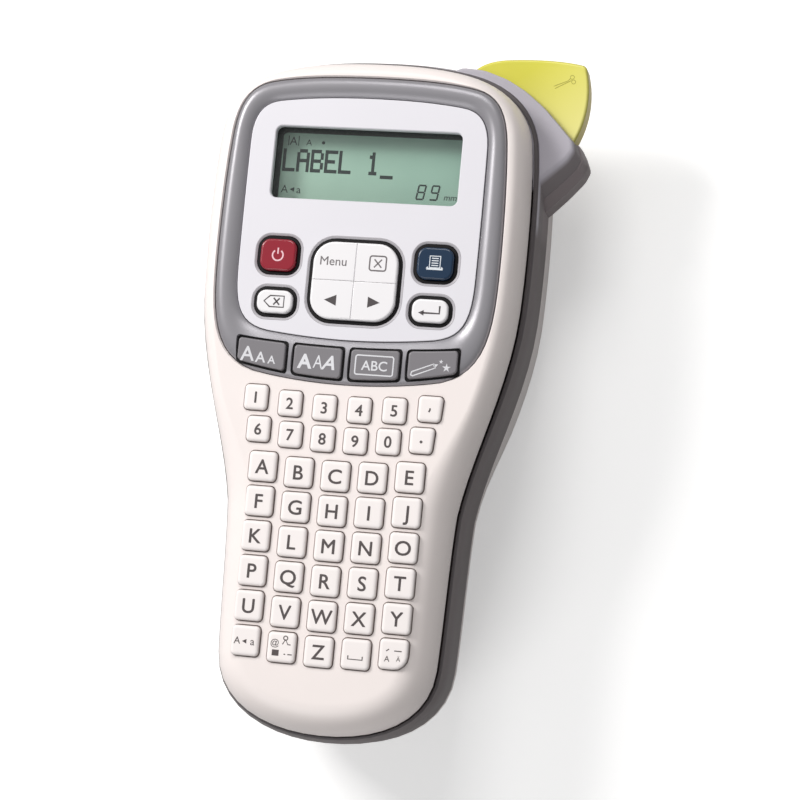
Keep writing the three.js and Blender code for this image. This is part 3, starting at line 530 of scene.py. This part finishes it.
# ---- Display panel -----------------------------
# A pearl silver face plate glued inside the ring, with a window for the display and a softly
# chamfered opening round each control key.
window_w, window_h, window_y = 56.2, 21.7, 19.7
panel_keys = {
    "power_key": dict(x=-23.5, y=-8.4, w=10.7, h=9.4, r=2.8),
    "print_key": dict(x=23.5, y=-8.4, w=10.7, h=9.4, r=2.8),
    "delete_key": dict(x=-23.2, y=-22.3, w=10.7, h=6.8, r=2.6),
    "enter_key": dict(x=23.2, y=-22.3, w=10.7, h=6.8, r=2.6),
}
pad = dict(w=25.4, h=22.9, r=6.2, x=0, y=-15)
panel = slab(grown(panel_line, -0.25), panel_under, face_z, rounding=0.25, segments=2)


def round_keys(section, closed_ends=False):
    """A shape round each control key, from a section of (distance out, height)."""
    return [loft([raised(rounded(**key, d=d, steps=8), z) for d, z in section], closed_ends)
            for key in [*panel_keys.values(), pad]]


holes = round_keys(((1.15, 54), (1.15, 56.1), (1.95, 56.8), (1.95, 58)), closed_ends=True)
display_opening = lambda d: rounded(window_w, window_h, 2, 0, window_y, d, 6)
display_edge = ((0, 54), (0, 56.75), (0.3, 57.02), (0.3, 58))
holes.append(loft([raised(display_opening(d), z) for d, z in display_edge]))
panel = carve(panel, together(*holes))
panel_pearl = finish("pearl_silver_panel", (233, 231, 237), 0.34, cloud=0.01, grain_size=0.12, coat=0.15)
place("display_face_plate", panel, "casing", "panel_silver", [panel_pearl], ["display_panel"])

# ---- Key surrounds -----------------------------
# A soft black rubber lip stands round each control key and closes the gap to its opening; round the function
# keys the same black fills the gap as painted shadow. Round the control keys a thin bezel, pressed into the
# face plate, slopes down to the lip; its gray is painted shade round each raised key.
control_lip = ((0.08, 55.05), (1.13, 55.05), (1.13, 56.5), (0.9, 56.75), (0.25, 56.75), (0.08, 56.6))
# Painted shadow: a black sheet that fills the gap round each function key.
band_gap_shadow = ((-0.24, 53.4), (0.37, 53.4), (0.37, 57.0), (-0.24, 57.0))
bezel_section = ((1.17, 56.15), (1.93, 56.82), (1.93, 57.0), (1.8, 57.04), (1.3, 56.85), (1.17, 56.72))
lips_and_gap_shadows = round_keys(control_lip)
lips_and_gap_shadows += [loft([raised(band_key(*span, d), z) for d, z in band_gap_shadow], closed_ends=False)
         for span in function_spans.values()]
# Black for the control keys' rubber lips, and as painted shadow in the function keys' gaps.
black_lip_and_gap_shadow = finish("soft_black_rubber_and_gap_shadow", (20, 18, 20), 0.7, cloud=0.06, grain=0.006, grain_size=0.3,
                    specular=0.3)
place("key_lips_and_gap_shadows", together(*lips_and_gap_shadows), "casing", "black_plastic", [black_lip_and_gap_shadow])
# Painted shade: the bezels' gray stands for the shade round each raised control key.
bezel_shade_gray = finish("gray_key_bezels_painted_shade", (178, 175, 180), 0.36, cloud=0.03)
place("key_bezels", together(*round_keys(bezel_section)), "casing", "ring_gray", [bezel_shade_gray])

# ---- Power, print, delete and return keys ------
# Hard polished keys that stand out of the face plate: ruby red, deep navy and two white ones, each
# with a rounded edge, a flange under the plate and a foot on its switch.
cap_top = 58.2
bright_white = finish("polished_white_keys", (246, 244, 246), 0.25, cloud=0.01, coat=0.3)
ruby = finish("ruby_red_key", (148, 24, 44), 0.3, cloud=0.04, coat=0.35)
navy = finish("navy_blue_key", (15, 46, 74), 0.3, cloud=0.04, coat=0.35)
dark_ink, pink_ink = ink("dark_gray_ink", (74, 68, 70)), ink("pale_pink_ink", (240, 196, 204))
paper_ink = ink("white_icon_ink", (226, 232, 238))
page = [(-1.55, -1.5), (1.55, -1.5), (1.55, 1.9), (-1.55, 1.9)]
pentagon = [(-3.1, 0), (-1.3, 1.65), (2.9, 1.65), (2.9, -1.65), (-1.3, -1.65)]


def on_key(name, rise=0.0):
    """The middle of a control key's top, or a point a little above or below it."""
    return panel_keys[name]["x"], panel_keys[name]["y"] + rise, cap_top


power_spot, print_spot = on_key("power_key", -0.2), on_key("print_key", 0.2)
delete_spot, enter_spot = on_key("delete_key"), on_key("enter_key")
panel_marks = {
    "power_key": [stroke(arc(1.6, 125, 415, 20), 0.44, *power_spot),
                  stroke([(0, 0.4), (0, 2.2)], 0.44, *power_spot)],
    "print_key": [stroke(page, 0.34, *print_spot, True),
                  stroke([(-2.4, -1.9), (2.4, -1.9)], 0.5, *print_spot),
                  stroke([(-2.4, -1.9), (-2.0, -1.3)], 0.34, *print_spot),
                  stroke([(2.4, -1.9), (2.0, -1.3)], 0.34, *print_spot)]
    + [stroke([(-1.0, h), (1.0, h)], 0.3, *print_spot) for h in (1.25, 0.55, -0.15, -0.85)],
    "delete_key": [stroke(pentagon, 0.42, *delete_spot, True),
                   stroke([(-0.2, 1.0), (1.6, -1.0)], 0.46, *delete_spot),
                   stroke([(-0.2, -1.0), (1.6, 1.0)], 0.46, *delete_spot)],
    "enter_key": [stroke([(2.9, 1.5), (2.9, -0.7), (-2.0, -0.7)], 0.54, *enter_spot),
                  patch([(-3.3, -0.7), (-1.7, -1.5), (-1.7, 0.1)], *enter_spot)],
}
looks = {"power_key": ("key_red", ruby, pink_ink), "print_key": ("key_navy", navy, paper_ink),
         "delete_key": ("key_white", bright_white, dark_ink),
         "enter_key": ("key_white", bright_white, dark_ink)}
cap_low, flange_low, flange_high, foot_high = 54.4, 53.6, panel_under - 0.02, 53.8
for name, key in panel_keys.items():
    slot, skin, mark = looks[name]
    cap = slab(rounded(**key, steps=8), cap_low, cap_top, rounding=0.7, segments=4)
    flange = slab(rounded(**key, d=1.45, steps=8), flange_low, flange_high)
    cap = carve(carve(cap, flange, "UNION"), foot(key["x"], key["y"], foot_high), "UNION")
    place(name + "_cap", inked(cap, *panel_marks[name]), name, slot, [skin, mark], [name])

# ---- Menu, clear, left and right keys ----------
# The white cursor pad is four quarter keys with a hairline cross between them, rounded at the
# outer edge only.
clear_spot, half_gap = (6.7, -9.4, cap_top), 0.03
pad_marks = {
    "menu_key": [lettering("Menu", 2.7, -6.6, -9.3, cap_top)],
    "clear_key": [stroke(rounded(4.9, 4.3, 0.7), 0.44, *clear_spot, True),
                  stroke([(-1.1, 1.2), (1.1, -1.2)], 0.4, *clear_spot),
                  stroke([(-1.1, -1.2), (1.1, 1.2)], 0.4, *clear_spot)],
    "left_key": [patch([(-2.0, 0), (1.6, -1.6), (1.6, 1.6)], -6.3, -20.9, cap_top)],
    "right_key": [patch([(2.0, 0), (-1.6, 1.6), (-1.6, -1.6)], 6.3, -20.9, cap_top)],
}
faint_ink = ink("mid_gray_ink", (112, 106, 108))
for name, sx, sy in (("menu_key", -1, 1), ("clear_key", 1, 1), ("left_key", -1, -1), ("right_key", 1, -1)):
    whole = slab(rounded(**pad, steps=10), cap_low, cap_top, rounding=0.7, segments=4)
    whole = carve(whole, slab(rounded(**pad, d=1.6, steps=10), flange_low, flange_high), "UNION")
    x0, x1 = sorted((half_gap * sx, 20 * sx))
    y0, y1 = sorted((pad["y"] + half_gap * sy, pad["y"] + 20 * sy))
    quarter = carve(whole, slab([(x0, y0), (x1, y0), (x1, y1), (x0, y1)], 40, cap_top + 0.01, rounding=0.3),
                    "INTERSECT")
    quarter = carve(quarter, foot(sx * pad["w"] / 4, pad["y"] + sy * pad["h"] / 4, foot_high), "UNION")
    mark = dark_ink if sy < 0 else faint_ink
    place(name + "_cap", inked(quarter, *pad_marks[name]), name, "key_white", [bright_white, mark], [name])

# ---- Character keypad --------------------------
# One silicone mat under the shell carries all 42 key tops: soft white pillows with rounded edges, coated
# matt, their walls painted darker as shade. Their letters are printed in warm gray in three passes, a hair
# apart.
mat_low, mat_high = 46.8, 48.3
mat = carve(slab(rounded(62, 22, 3, 0, -58.5), mat_low, mat_high),
            slab(rounded(54.94, 69.95, 4, 0, -94.97), mat_low, mat_high), "UNION")
tops, signs = [], []
pillow = ((0, 47.3), (0, 57.1), (-0.08, 57.6), (-0.3, 57.95), (-0.7, 58.15), (-1.2, cap_top))
print_passes = ((-0.08, -0.05, 0), (0.08, -0.05, 0.004), (0, 0.08, 0.008))
for key in character_keys:
    x, y, sign = key["x"], key["y"], key["sign"]
    tops.append(loft([raised(key_line(key, d), z) for d, z in pillow]))
    if sign.isdigit() or sign.isupper():
        size = 3.4 if sign.isdigit() else 4.3
        signs += [lettering(sign, size, x + dx, y + dy, cap_top + rise, 0, 0, 1.06 if sign in "OCGQ" else 1)
                  for dx, dy, rise in print_passes]
    elif sign == ",":
        signs.append(stroke([(0.1, 0.2), (0.1, -0.3), (-0.2, -0.9)], 0.5, x, y, cap_top))
    elif sign == ".":
        signs.append(patch(arc(0.42, 0, 337.5, 15), x, y - 0.4, cap_top))
    elif sign == "a":
        signs += [lettering("A", 2.1, x - 2.3, y, cap_top), lettering("a", 2.3, x + 2.3, y, cap_top),
                  patch([(-0.8, 0), (0.5, -0.65), (0.5, 0.65)], x, y - 0.2, cap_top)]
    elif sign == "o":
        signs += [lettering("@", 1.9, x - 2.0, y + 1.3, cap_top),
                  patch([(-1, -0.8), (1, -0.8), (1, 0.9), (-1, 0.9)], x - 1.6, y - 1.7, cap_top),
                  stroke([(0, 0), (0.8, 1.4), (1.6, 0), (2.4, 0)], 0.3, x + 0.3, y + 0.9, cap_top),
                  stroke(arc(0.6, 0, 337.5, 15), 0.3, x + 1.1, y + 2.7, cap_top, True),
                  stroke([(0, 0), (0.5, 0)], 0.3, x + 0.9, y - 1.9, cap_top),
                  stroke([(1.1, 0), (2.4, 0)], 0.3, x + 0.9, y - 1.9, cap_top)]
    elif sign == "_":
        signs.append(stroke([(-2.1, 0.7), (-2.1, -0.3), (2.1, -0.3), (2.1, 0.7)], 0.36, x, y - 1.2, cap_top))
    else:
        signs += [lettering("A", 1.7, x - 1.7, y - 1.3, cap_top),
                  stroke([(-0.5, 0), (0.3, 0.6)], 0.3, x - 1.6, y + 0.8, cap_top),
                  stroke([(0, 0), (2.2, 0)], 0.3, x + 0.2, y + 1.0, cap_top),
                  lettering("Ä", 1.3, x + 1.6, y - 1.2, cap_top)]
mat = carve(mat, together(*tops), "UNION")


def paint_light_and_shade_along(material, direction, start, end, tone):
    """Painted light and shade: a second tone over the first, from none at start to full at end, in mm along
    a direction.
    """
    nodes, links = material.node_tree.nodes, material.node_tree.links
    where, along = nodes.new("ShaderNodeTexCoord"), nodes.new("ShaderNodeVectorMath")
    along.operation = "DOT_PRODUCT"
    along.inputs[1].default_value = direction
    links.new(where.outputs["Object"], along.inputs[0])
    level = nodes.new("ShaderNodeMapRange")
    level.inputs["From Min"].default_value = start * mm
    level.inputs["From Max"].default_value = end * mm
    links.new(along.outputs["Value"], level.inputs["Value"])
    blend = nodes.new("ShaderNodeMix")
    blend.data_type = "RGBA"
    blend.inputs["B"].default_value = colour(*tone)
    links.new(level.outputs["Result"], blend.inputs["Factor"])
    under = nodes["Principled BSDF"].inputs["Base Color"]
    links.new(under.links[0].from_socket, blend.inputs["A"])
    links.new(blend.outputs["Result"], under)


silicone = finish("coated_white_silicone", (250, 243, 241), 0.5, cloud=0.01, grain=0.004, grain_size=0.25,
                  spread=0.05)
# Painted shade: the key walls below the rounded tops are darker, for the shade on their sides.
paint_light_and_shade_along(silicone, (0, 0, 1), 57.9, 57.3, (158, 145, 141))
warm_ink = ink("warm_gray_ink", (84, 76, 76))
place("keypad_mat", inked(mat, *signs), "casing", "silicone_white", [silicone, warm_ink],
      ["character_keypad"], crease=40)

# ---- Display -----------------------------------
# A gray-green liquid crystal cell lies deep under the face plate in a black frame, with a clear
# pane between. Its dark segments show two status rows and one line of dot-matrix characters.
cell_top = 49.2
liquid = finish("liquid_crystal_green", (158, 184, 168), 0.22, cloud=0.0, grain=0.001, grain_size=0.6,
                spread=0.04)
# The cell's green runs darker toward its right and top, with a soft mottle over it.
nodes, links = liquid.node_tree.nodes, liquid.node_tree.links
where = nodes.new("ShaderNodeTexCoord")
run = nodes.new("ShaderNodeVectorMath")
run.operation = "DOT_PRODUCT"
run.inputs[1].default_value = (11.0, 9.0, 0)
links.new(where.outputs["Object"], run.inputs[0])
soft = nodes.new("ShaderNodeTexNoise")
soft.inputs["Scale"].default_value = 60
links.new(where.outputs["Object"], soft.inputs["Vector"])
green_gradient = nodes.new("ShaderNodeMath")
green_gradient.operation = "MULTIPLY_ADD"
green_gradient.inputs[1].default_value = 0.35
links.new(soft.outputs["Fac"], green_gradient.inputs[0])
links.new(run.outputs["Value"], green_gradient.inputs[2])
tone = nodes.new("ShaderNodeValToRGB")
for stop, position, shade in zip(tone.color_ramp.elements, (0.05, 0.75), ((164, 196, 178), (138, 174, 158))):
    stop.position, stop.color = position, colour(*shade)
links.new(green_gradient.outputs["Value"], tone.inputs["Fac"])
links.new(tone.outputs["Color"], nodes["Principled BSDF"].inputs["Base Color"])
segment_ink = finish("dark_display_segments", (10, 30, 28), 0.5, specular=0.2, cloud=0.05, grain=0.001,
                     grain_size=0.3)

dot_rows = {
    "L": "10000 10000 10000 10000 10000 10000 11111",
    "A": "01110 10001 10001 11111 10001 10001 10001",
    "B": "11110 10001 10001 11110 10001 10001 11110",
    "E": "11111 10000 10000 11110 10000 10000 11111",
    "1": "00100 01100 00100 00100 00100 00100 01110",
    " ": "",
    "_": "00000 00000 00000 00000 00000 00000 00000 11111",
}
dot_w, dot_h, cell_w = 0.74, 0.98, 4.3
lcd_left, lcd_top = -27.3, 25.4
dots = []
for i, sign in enumerate("LABEL 1_"):
    for row, bits in enumerate(dot_rows[sign].split()):
        for column, bit in enumerate(bits):
            if bit == "1":
                x, y = lcd_left + i * cell_w + column * dot_w, lcd_top - row * dot_h
                # Dots overlap a little, so neighbours differ in height by a hair.
                dot_top = cell_top + 0.02 + 0.003 * ((2 * row + column) % 4)
                dots.append(block(x - 0.1, x + dot_w + 0.1, y - dot_h - 0.04, y + 0.04, cell_top, dot_top))
small_marks = [lettering("A", 2.6, -24.6, 27.9, cell_top),
               stroke([(-1.6, -1.5), (-1.6, 1.5)], 0.25, -24.5, 27.9, cell_top),
               stroke([(1.5, -1.5), (1.5, 1.5)], 0.25, -24.5, 27.9, cell_top),
               lettering("A", 1.9, -19.8, 27.6, cell_top),
               patch(arc(0.5, 0, 337.5, 15), -15.4, 27.6, cell_top),
               lettering("A", 2.4, -26.0, 13.2, cell_top),
               patch([(-0.8, 0), (0.6, -0.7), (0.6, 0.7)], -23.6, 13.1, cell_top),
               lettering("a", 2.4, -21.6, 13.2, cell_top),
               lettering("mm", 1.9, 24.4, 13.0, cell_top, 0, 0.15)]
bars = {"a": ((0, 4.2), (2.1, 4.2)), "b": ((2.1, 4.1), (2.1, 2.2)), "c": ((2.1, 2.0), (2.1, 0.1)),
        "d": ((0, 0), (2.1, 0)), "e": ((0, 2.0), (0, 0.1)), "f": ((0, 4.1), (0, 2.2)),
        "g": ((0.1, 2.1), (2.0, 2.1))}
digit_slant = 0.16
for x, lit in ((14.2, "abcdefg"), (18.3, "abcdfg")):
    small_marks += [stroke([(px + digit_slant * py, py) for px, py in bars[bar]], 0.5, x, 12.0, cell_top)
                    for bar in lit]


def window_line(grow, corner):
    """The window's outline with its width and height grown, and a corner radius."""
    return rounded(window_w + grow, window_h + grow, corner, 0, window_y)


glass_cell = slab(window_line(6, 1.2), 46.8, cell_top, rounding=0.15, segments=2)
place("display_cell", inked(glass_cell, *dots, *small_marks), "casing", "display_green",
      [liquid, segment_ink], ["display_module"])
pane_low, pane_high = 54, 55
shroud = slab(rounded(window_w + 4.8, window_h + 4.4, 1.5, 0, window_y), cell_top, pane_low, rounding=0.2,
              segments=2)
shroud = carve(shroud, loft([raised(window_line(-0.8, 1.2), 48), raised(window_line(0.4, 1.6), 55)]))
shroud_black = finish("matt_black_frame", (11, 11, 13), 0.75, specular=0.25, cloud=0.05, grain=0.006,
                      grain_size=0.3)
place("display_frame", shroud, "casing", "black_plastic", [shroud_black], ["display_shroud"])
pane_clear = finish("clear_display_pane", (236, 242, 240), 0.07, cloud=0.0, grain=0.0005, grain_size=2.0,
                    spread=0.03, alpha=0.03)
pane = slab(window_line(3, 1.2), pane_low, pane_high, rounding=0.15, segments=2, under=0.15)
place("display_pane", pane, "casing", "window", [pane_clear], ["display_window"])

# ---- Gray middle frame and cutter guard --------
# A satin gray moulding between the white halves carries the deck over the cells. Its gray carries painted
# shade: its steep sides darker in bands, all of it but the guard and the head's upper right darker, and a
# near-black painted shadow along the rim's top under the shell. At the tape end it grows a wing that guards
# the cutter lever and holds its pin; posts take the screws of the board and the mechanism's plate.
frame_grow = lambda y: 2.4 + 0.6 * ease(y, -70, -20)
wider = lambda d: lambda y: frame_grow(y) + d
frame_levels = [(28, -0.25), (28.25, 0), (36, 0), (38.5, -0.1), (40.5, -0.4), (42, -0.85), (43.2, -1.35),
                (43.6, -1.6), (43.75, -1.85)]
body = loft([raised(grown(casing_line, wider(d)), z) for z, d in frame_levels])
cells_room = ((wider(-2.4), 27), (wider(-2.4), 33))
deck_room = ((wider(-2.4), 34.6), (wider(-3), 40.8), (wider(-3), 41.4), (0.3, 42.6), (0.4, 45.2))
body = carve(body, together(*[loft([raised(grown(casing_line, d), z) for d, z in room])
                              for room in (cells_room, deck_room)]))


def softened(points, rounds=2, cut=0.14):
    """Corners of a closed outline cut back to a smooth line, keeping the count the same for all."""
    points = [Vector((*p, 0)) for p in points]
    for _ in range(rounds):
        points = [q for i, p in enumerate(points) for n in (points[(i + 1) % len(points)],)
                  for q in (p.lerp(n, cut), p.lerp(n, 1 - cut))]
    return points


wing_foot = softened([
    (26, 43.5), (33, 38.5), (46, 24), (48.4, 11), (51.6, 13.2), (56.8, 18.6), (61.2, 23.8), (62.6, 27.2),
    (60.6, 32), (55.2, 37.2), (49.4, 43), (43.5, 47.8), (37.3, 51.2), (30, 53.8), (22.4, 54.4), (14, 47)])
wing_top = softened([
    (26, 43.5), (33, 38.5), (45, 24), (47.4, 18), (49.4, 21.4), (53.2, 24.8), (56.4, 27.6), (58.2, 30.6),
    (57.9, 33.1), (54, 37.4), (49, 42.6), (43.1, 47.4), (37.3, 50.8), (30, 53.4), (22.4, 54), (14, 47)])
slope = lambda t: [a.lerp(b, t) for a, b in zip(wing_foot, wing_top)]
wing_levels = ((0, -0.4, 28), (0, 0, 28.4), (0, 0, 36.1), (0.32, 0, 38.7), (0.32, -0.45, 38.85),
               (0.38, -0.3, 39.4), (0.72, 0, 41.4), (0.92, 0, 42.4), (1, -0.25, 42.72), (1, -0.9, 42.8))
wing = loft([raised(grown(slope(t), d), z) for t, d, z in wing_levels])
body = carve(body, wing, "UNION")
pivot_x, pivot_y, lever_low, lever_high = 30, 47, 32.4, 40.4
bay = [(22.7, 62), (22.7, 30), (38, 22)] + arc(32.3, -60, 40, 32, pivot_x, pivot_y) + [(40, 74)]
body = carve(body, slab(bay, 32, 40.8))
body = carve(body, together(rod(pivot_x, pivot_y, 2, 29.5, 42.2),
                            *[rod(x, y, screw_radius, 32, 36, 24) for x, y in screw_spots]))
board_posts = [(27, -60), (-27, -60), (24, -124), (-24, -124), (35, -22), (-35, -22), (-34, 34), (10, 45)]
plate_posts = [(-36, -9), (-34, 41), (35, -9), (10, 41)]
for spots, low, high in ((board_posts, 33.5, 45.2), (plate_posts, 25.2, 33.5)):
    body = carve(body, together(*[rod(x, y, 2, low, high, 20) for x, y in spots]), "UNION")
collar = carve(rod(pivot_x, pivot_y, 4.5, 31.5, lever_low), rod(pivot_x, pivot_y, 2, 31, 33))
body = carve(body, collar, "UNION")
pinion_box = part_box("motor_pinion")
pinion = [(pinion_box[0][i] + pinion_box[1][i]) / 2 / mm for i in (0, 1)]
body = carve(body, rod(*pinion, 2, 32, 36, 24))
frame_gray = finish("satin_gray_frame", (184, 180, 189), 0.4, cloud=0.02, grain=0.008, grain_size=0.35)
# Painted shade: the sides below the rim darker in bands, all but the guard and the head's upper right
# darker, and a near-black painted shadow along the rim's top under the shell.
for direction, start, end, shade in (((0, 0, 1), 42.5, 41.6, (128, 121, 123)),
                                     ((0, 0, 1), 38.95, 38.75, (138, 128, 130)),
                                     ((0.8, 0.6, 0), 44.5, 42, (118, 110, 111)),
                                     ((0, 0, 1), 43.0, 43.25, (88, 82, 84))):
    paint_light_and_shade_along(frame_gray, direction, start, end, shade)
place("middle_frame", body, "casing", "frame_gray", [frame_gray], ["mid_frame"], crease=35)

# ---- Cutter lever ------------------------------
# A lime green moulding that turns on its pin and pushes the blade across the tape. Its crown has a wide
# chamfer along the thumb edge and a small pair of scissors moulded in, drawn as thin darker lines of painted
# shade. Its lime is painted paler toward the lower right as a painted sheen, and darker on the rounded top
# edge and a duller tan on the walls below as painted shade.


def bend(a, q, b):
    """A curve from a to b, drawn toward q."""
    pull = lambda p: (p[0] + 2 / 3 * (q[0] - p[0]), p[1] + 2 / 3 * (q[1] - p[1]), 0)
    return interpolate_bezier((*a, 0), pull(a), pull(b), (*b, 0), 12)


reach, heel = 31.4, -36
tip = math.asin((head_top + 3 - pivot_y) / reach)
tip_x, tip_y = pivot_x + reach * math.cos(tip), pivot_y + reach * math.sin(tip)
lever_line = (bend((24.4, 50), (26, 56.6), (36, 57.6)) + bend((36, 57.6), (50, 58.6), (59, 56.8))[1:]
              + bend((59, 56.8), (tip_x, 56.2), (tip_x, tip_y))[1:])
lever_line = [(p.x, p.y) for p in lever_line] + arc(reach, math.degrees(tip), heel, 28, pivot_x, pivot_y)[1:]
lever_line += [(34, 42), (26, 43.6)]
lever = slab(lever_line[::-1], lever_low, lever_high, rounding=0.9, segments=3, under=0.3)
lever = carve(lever, block(28.4, 32.4, 35, 45, lever_low, 38.4), "UNION")
lever = carve(lever, rod(pivot_x, pivot_y, 2.3, 31, 42))
lever = carve(lever, rod(pivot_x, pivot_y, 4.9, 36, 42))
scissors = [stroke([(-2.6, -1.3), (1.6, 0.5), (2.2, 1.3)], 0.22, 53.4, 51.3, lever_high),
            stroke(arc(0.6, 0, 337.5, 12), 0.2, 56.1, 52.9, lever_high, True),
            stroke([(-2.2, -2.0), (2.5, 0.6)], 0.22, 53.4, 51.3, lever_high),
            stroke(arc(0.6, 0, 337.5, 12), 0.2, 56.6, 51.5, lever_high, True)]
lime = finish("lime_green_lever", (224, 218, 78), 0.33, cloud=0.03, grain=0.003, grain_size=0.25, coat=0.15)
# Painted sheen: the lever paler toward its lower right.
paint_light_and_shade_along(lime, (0.65, -0.76, 0), -13.2, 13, (240, 233, 148))
# Painted shade: the rounded top edge darker, and the walls below it a duller tan.
paint_light_and_shade_along(lime, (0, 0, 1), lever_high - 0.08, lever_high - 0.5, (190, 182, 44))
paint_light_and_shade_along(lime, (0, 0, 1), lever_high - 0.9, lever_high - 1.2, (218, 200, 100))
# Painted shade: the moulded scissors drawn as darker lime lines.
lime_shade = finish("lime_scissor_painted_shade", (176, 170, 62), 0.45, cloud=0.03)
place("lever_moulding", inked(lever, *scissors), "cutter_lever", "lime", [lime, lime_shade],
      ["cutter_lever"], crease=40)

# ---- Back cover and its latch ------------------
# The white lower half lifts off for cells and cassette, hooked at the grip end and snapped at the
# tape end by a sprung latch with thumb ribs; a slot beside it lets the label out. Its back has a sunk
# arrow that points to the latch, and shallow grooves under the fingers.
head_weight = lambda y: ease(y, -76, -48)
cover_top, grip_lift = 28, 19
under_round = interpolate_bezier((0, 0, 0), (0.75, -0.1, 0), (0.97, 3.5, 0), (1, 11, 0), 12)


def cover_form(thick):
    """The cover's outside, or with a wall thickness the room inside it."""
    loops = []
    for i, step in enumerate(under_round):
        down, inset = step.x, step.y
        loop = grown(casing_line, lambda y: frame_grow(y) - thick - inset * (0.55 + 0.45 * head_weight(y)))
        top = cover_top + (1 if thick and i == 0 else 0)
        depth = lambda y: cover_top - grip_lift * (1 - head_weight(y)) - thick
        loops.append(raised(loop, lambda p: top - down * depth(p[1])))
    if not thick:
        loops[0] = raised(grown(casing_line, lambda y: frame_grow(y) - 0.25), cover_top)
        loops.insert(1, raised(grown(casing_line, frame_grow), cover_top - 0.25))
    bm = loft(loops)
    back = max((f for f in bm.faces if len(f.verts) > 10), key=lambda f: -f.calc_center_median().z)
    verts = sorted(back.verts, key=lambda v: (round(v.co.y, 4), v.co.x))
    for left, right in zip(verts[1:-1:2], verts[2:-1:2]):
        bmesh.ops.connect_verts(bm, verts=[left, right])
    return bm


cover = carve(cover_form(0), cover_form(2))
label_slot, latch_opening = block(14.25, 17.85, 47, 62, 4.5, 30), block(-6.3, 6.3, 47, 62, 15, 24.3)
cover = carve(cover, together(label_slot, latch_opening))
cover = carve(cover, slab([(-4.5, 31), (4.5, 31), (0, 37.5)], -1, 0.5))
grooves = []
groove_radius, groove_half, groove_z = 1.3, 15, 18.2
for y in range(-124, -99, 4):
    groove = rod(0, 0, groove_radius, -groove_half, groove_half, 20)
    bmesh.ops.rotate(groove, verts=groove.verts, matrix=Matrix.Rotation(math.pi / 2, 3, "Y"))
    bmesh.ops.translate(groove, verts=groove.verts, vec=(0, y, groove_z))
    grooves.append(groove)
cover = carve(cover, together(*grooves))
cover_white = finish("satin_white_cover", (240, 233, 231), 0.42, cloud=0.012, grain=0.008, grain_size=0.35,
                     spread=0.05)
place("rear_cover", cover, "back_cover", "shell_white", [cover_white], ["back_cover"], crease=35)
latch_face = 52.8
latch = slab([(-6, latch_face - 2.1), (6, latch_face - 2.1), (6, 55), (-6, 55)], 15, 24, rounding=0.4,
             under=0.4)
latch = carve(latch, slab([(-8, 51.7), (8, 51.7), (8, latch_face), (-8, latch_face)], 16.2, 25.5), "UNION")
ribs = together(*[block(-6.5, 6.5, 54.6, 56, z, z + 0.6) for z in (16.8, 18.3, 19.8, 21.3)])
latch = carve(latch, ribs)
place("latch_button", latch, "cover_latch", "shell_white", [cover_white], ["cover_latch"])

# ---- Board, mechanism, cassette and cells ------
# What shows once the cover is off, or through the tape slot, keeps its designed shape: pressed
# steel and alloy, moulded gears and spools, a white tape cassette, and six small round cells.
inner_finishes = {
    "board_green": ("green_solder_resist", (36, 92, 56), 0.35, 0.08, 0.01, 0.8, 0, 0.3),
    "gear_plastic": ("acetal_gears", (238, 234, 226), 0.38, 0.02, 0.003, 0.3),
    "roller_rubber": ("roller_rubber", (36, 36, 38), 0.75, 0.08, 0.02, 0.25),
    "cassette_white": ("cassette_white", (228, 226, 221), 0.42, 0.02, 0.006, 0.35),
    "ceramic": ("glazed_ceramic", (232, 228, 218), 0.2, 0.03, 0.002, 0.3, 0, 0.4),
    "black_plastic": ("black_mechanism_plastic", (30, 30, 33), 0.45, 0.06, 0.006, 0.3),
    "brass": ("turned_brass", (205, 165, 84), 0.3, 0.06, 0.003, 0.2, 1.0),
}
inner = {slot: finish(*values) for slot, values in inner_finishes.items()}
inner["alloy"] = finish("rolled_alloy", (196, 198, 203), 0.34, 0.05, 0.004, 0.4, 1.0, stretch=(1, 12, 12))
inner["steel"] = finish("brushed_steel", (190, 192, 197), 0.28, 0.05, 0.003, 0.3, 1.0, stretch=(1, 14, 14))
inner["tape_white"] = finish("label_film", (246, 246, 243), 0.3, 0.02, 0.004, 1.2, stretch=(1, 1, 10))
jacket = finish("cell_jacket_blue", (40, 92, 150), 0.28, cloud=0.03, grain_size=0.4, metal=0.6, coat=0.4)
nodes, links = jacket.node_tree.nodes, jacket.node_tree.links
where, split = nodes.new("ShaderNodeTexCoord"), nodes.new("ShaderNodeSeparateXYZ")
links.new(where.outputs["Object"], split.inputs["Vector"])
first_cell, cell_pitch, cell_length = 0.1295, 0.046, 0.0445
along = split.outputs["Y"]
for operation, amount in (("ADD", first_cell), ("MODULO", cell_pitch), ("DIVIDE", cell_length)):
    step = nodes.new("ShaderNodeMath")
    step.operation = operation
    step.inputs[1].default_value = amount
    links.new(along, step.inputs[0])
    along = step.outputs["Value"]
bands = nodes.new("ShaderNodeValToRGB")
bands.color_ramp.interpolation = "CONSTANT"
bands.color_ramp.elements[0].color = colour(196, 198, 202)
bands.color_ramp.elements[1].position, bands.color_ramp.elements[1].color = 0.02, colour(34, 80, 140)
for start, shade in ((0.66, (230, 232, 236)), (0.69, (190, 150, 70)), (0.955, (205, 207, 210))):
    band = bands.color_ramp.elements.new(start)
    band.color = colour(*shade)
links.new(along, bands.inputs["Fac"])
links.new(bands.outputs["Color"], nodes["Principled BSDF"].inputs["Base Color"])
inner["cell_jacket"] = jacket
shown_as = {row["node"]: row["material_slot"] for row in frame["record"]["subparts"]}
for name, part in frame["nodes"].items():
    if shown_as[name] in inner:
        for holder in part.material_slots:
            holder.material = inner[shown_as[name]]
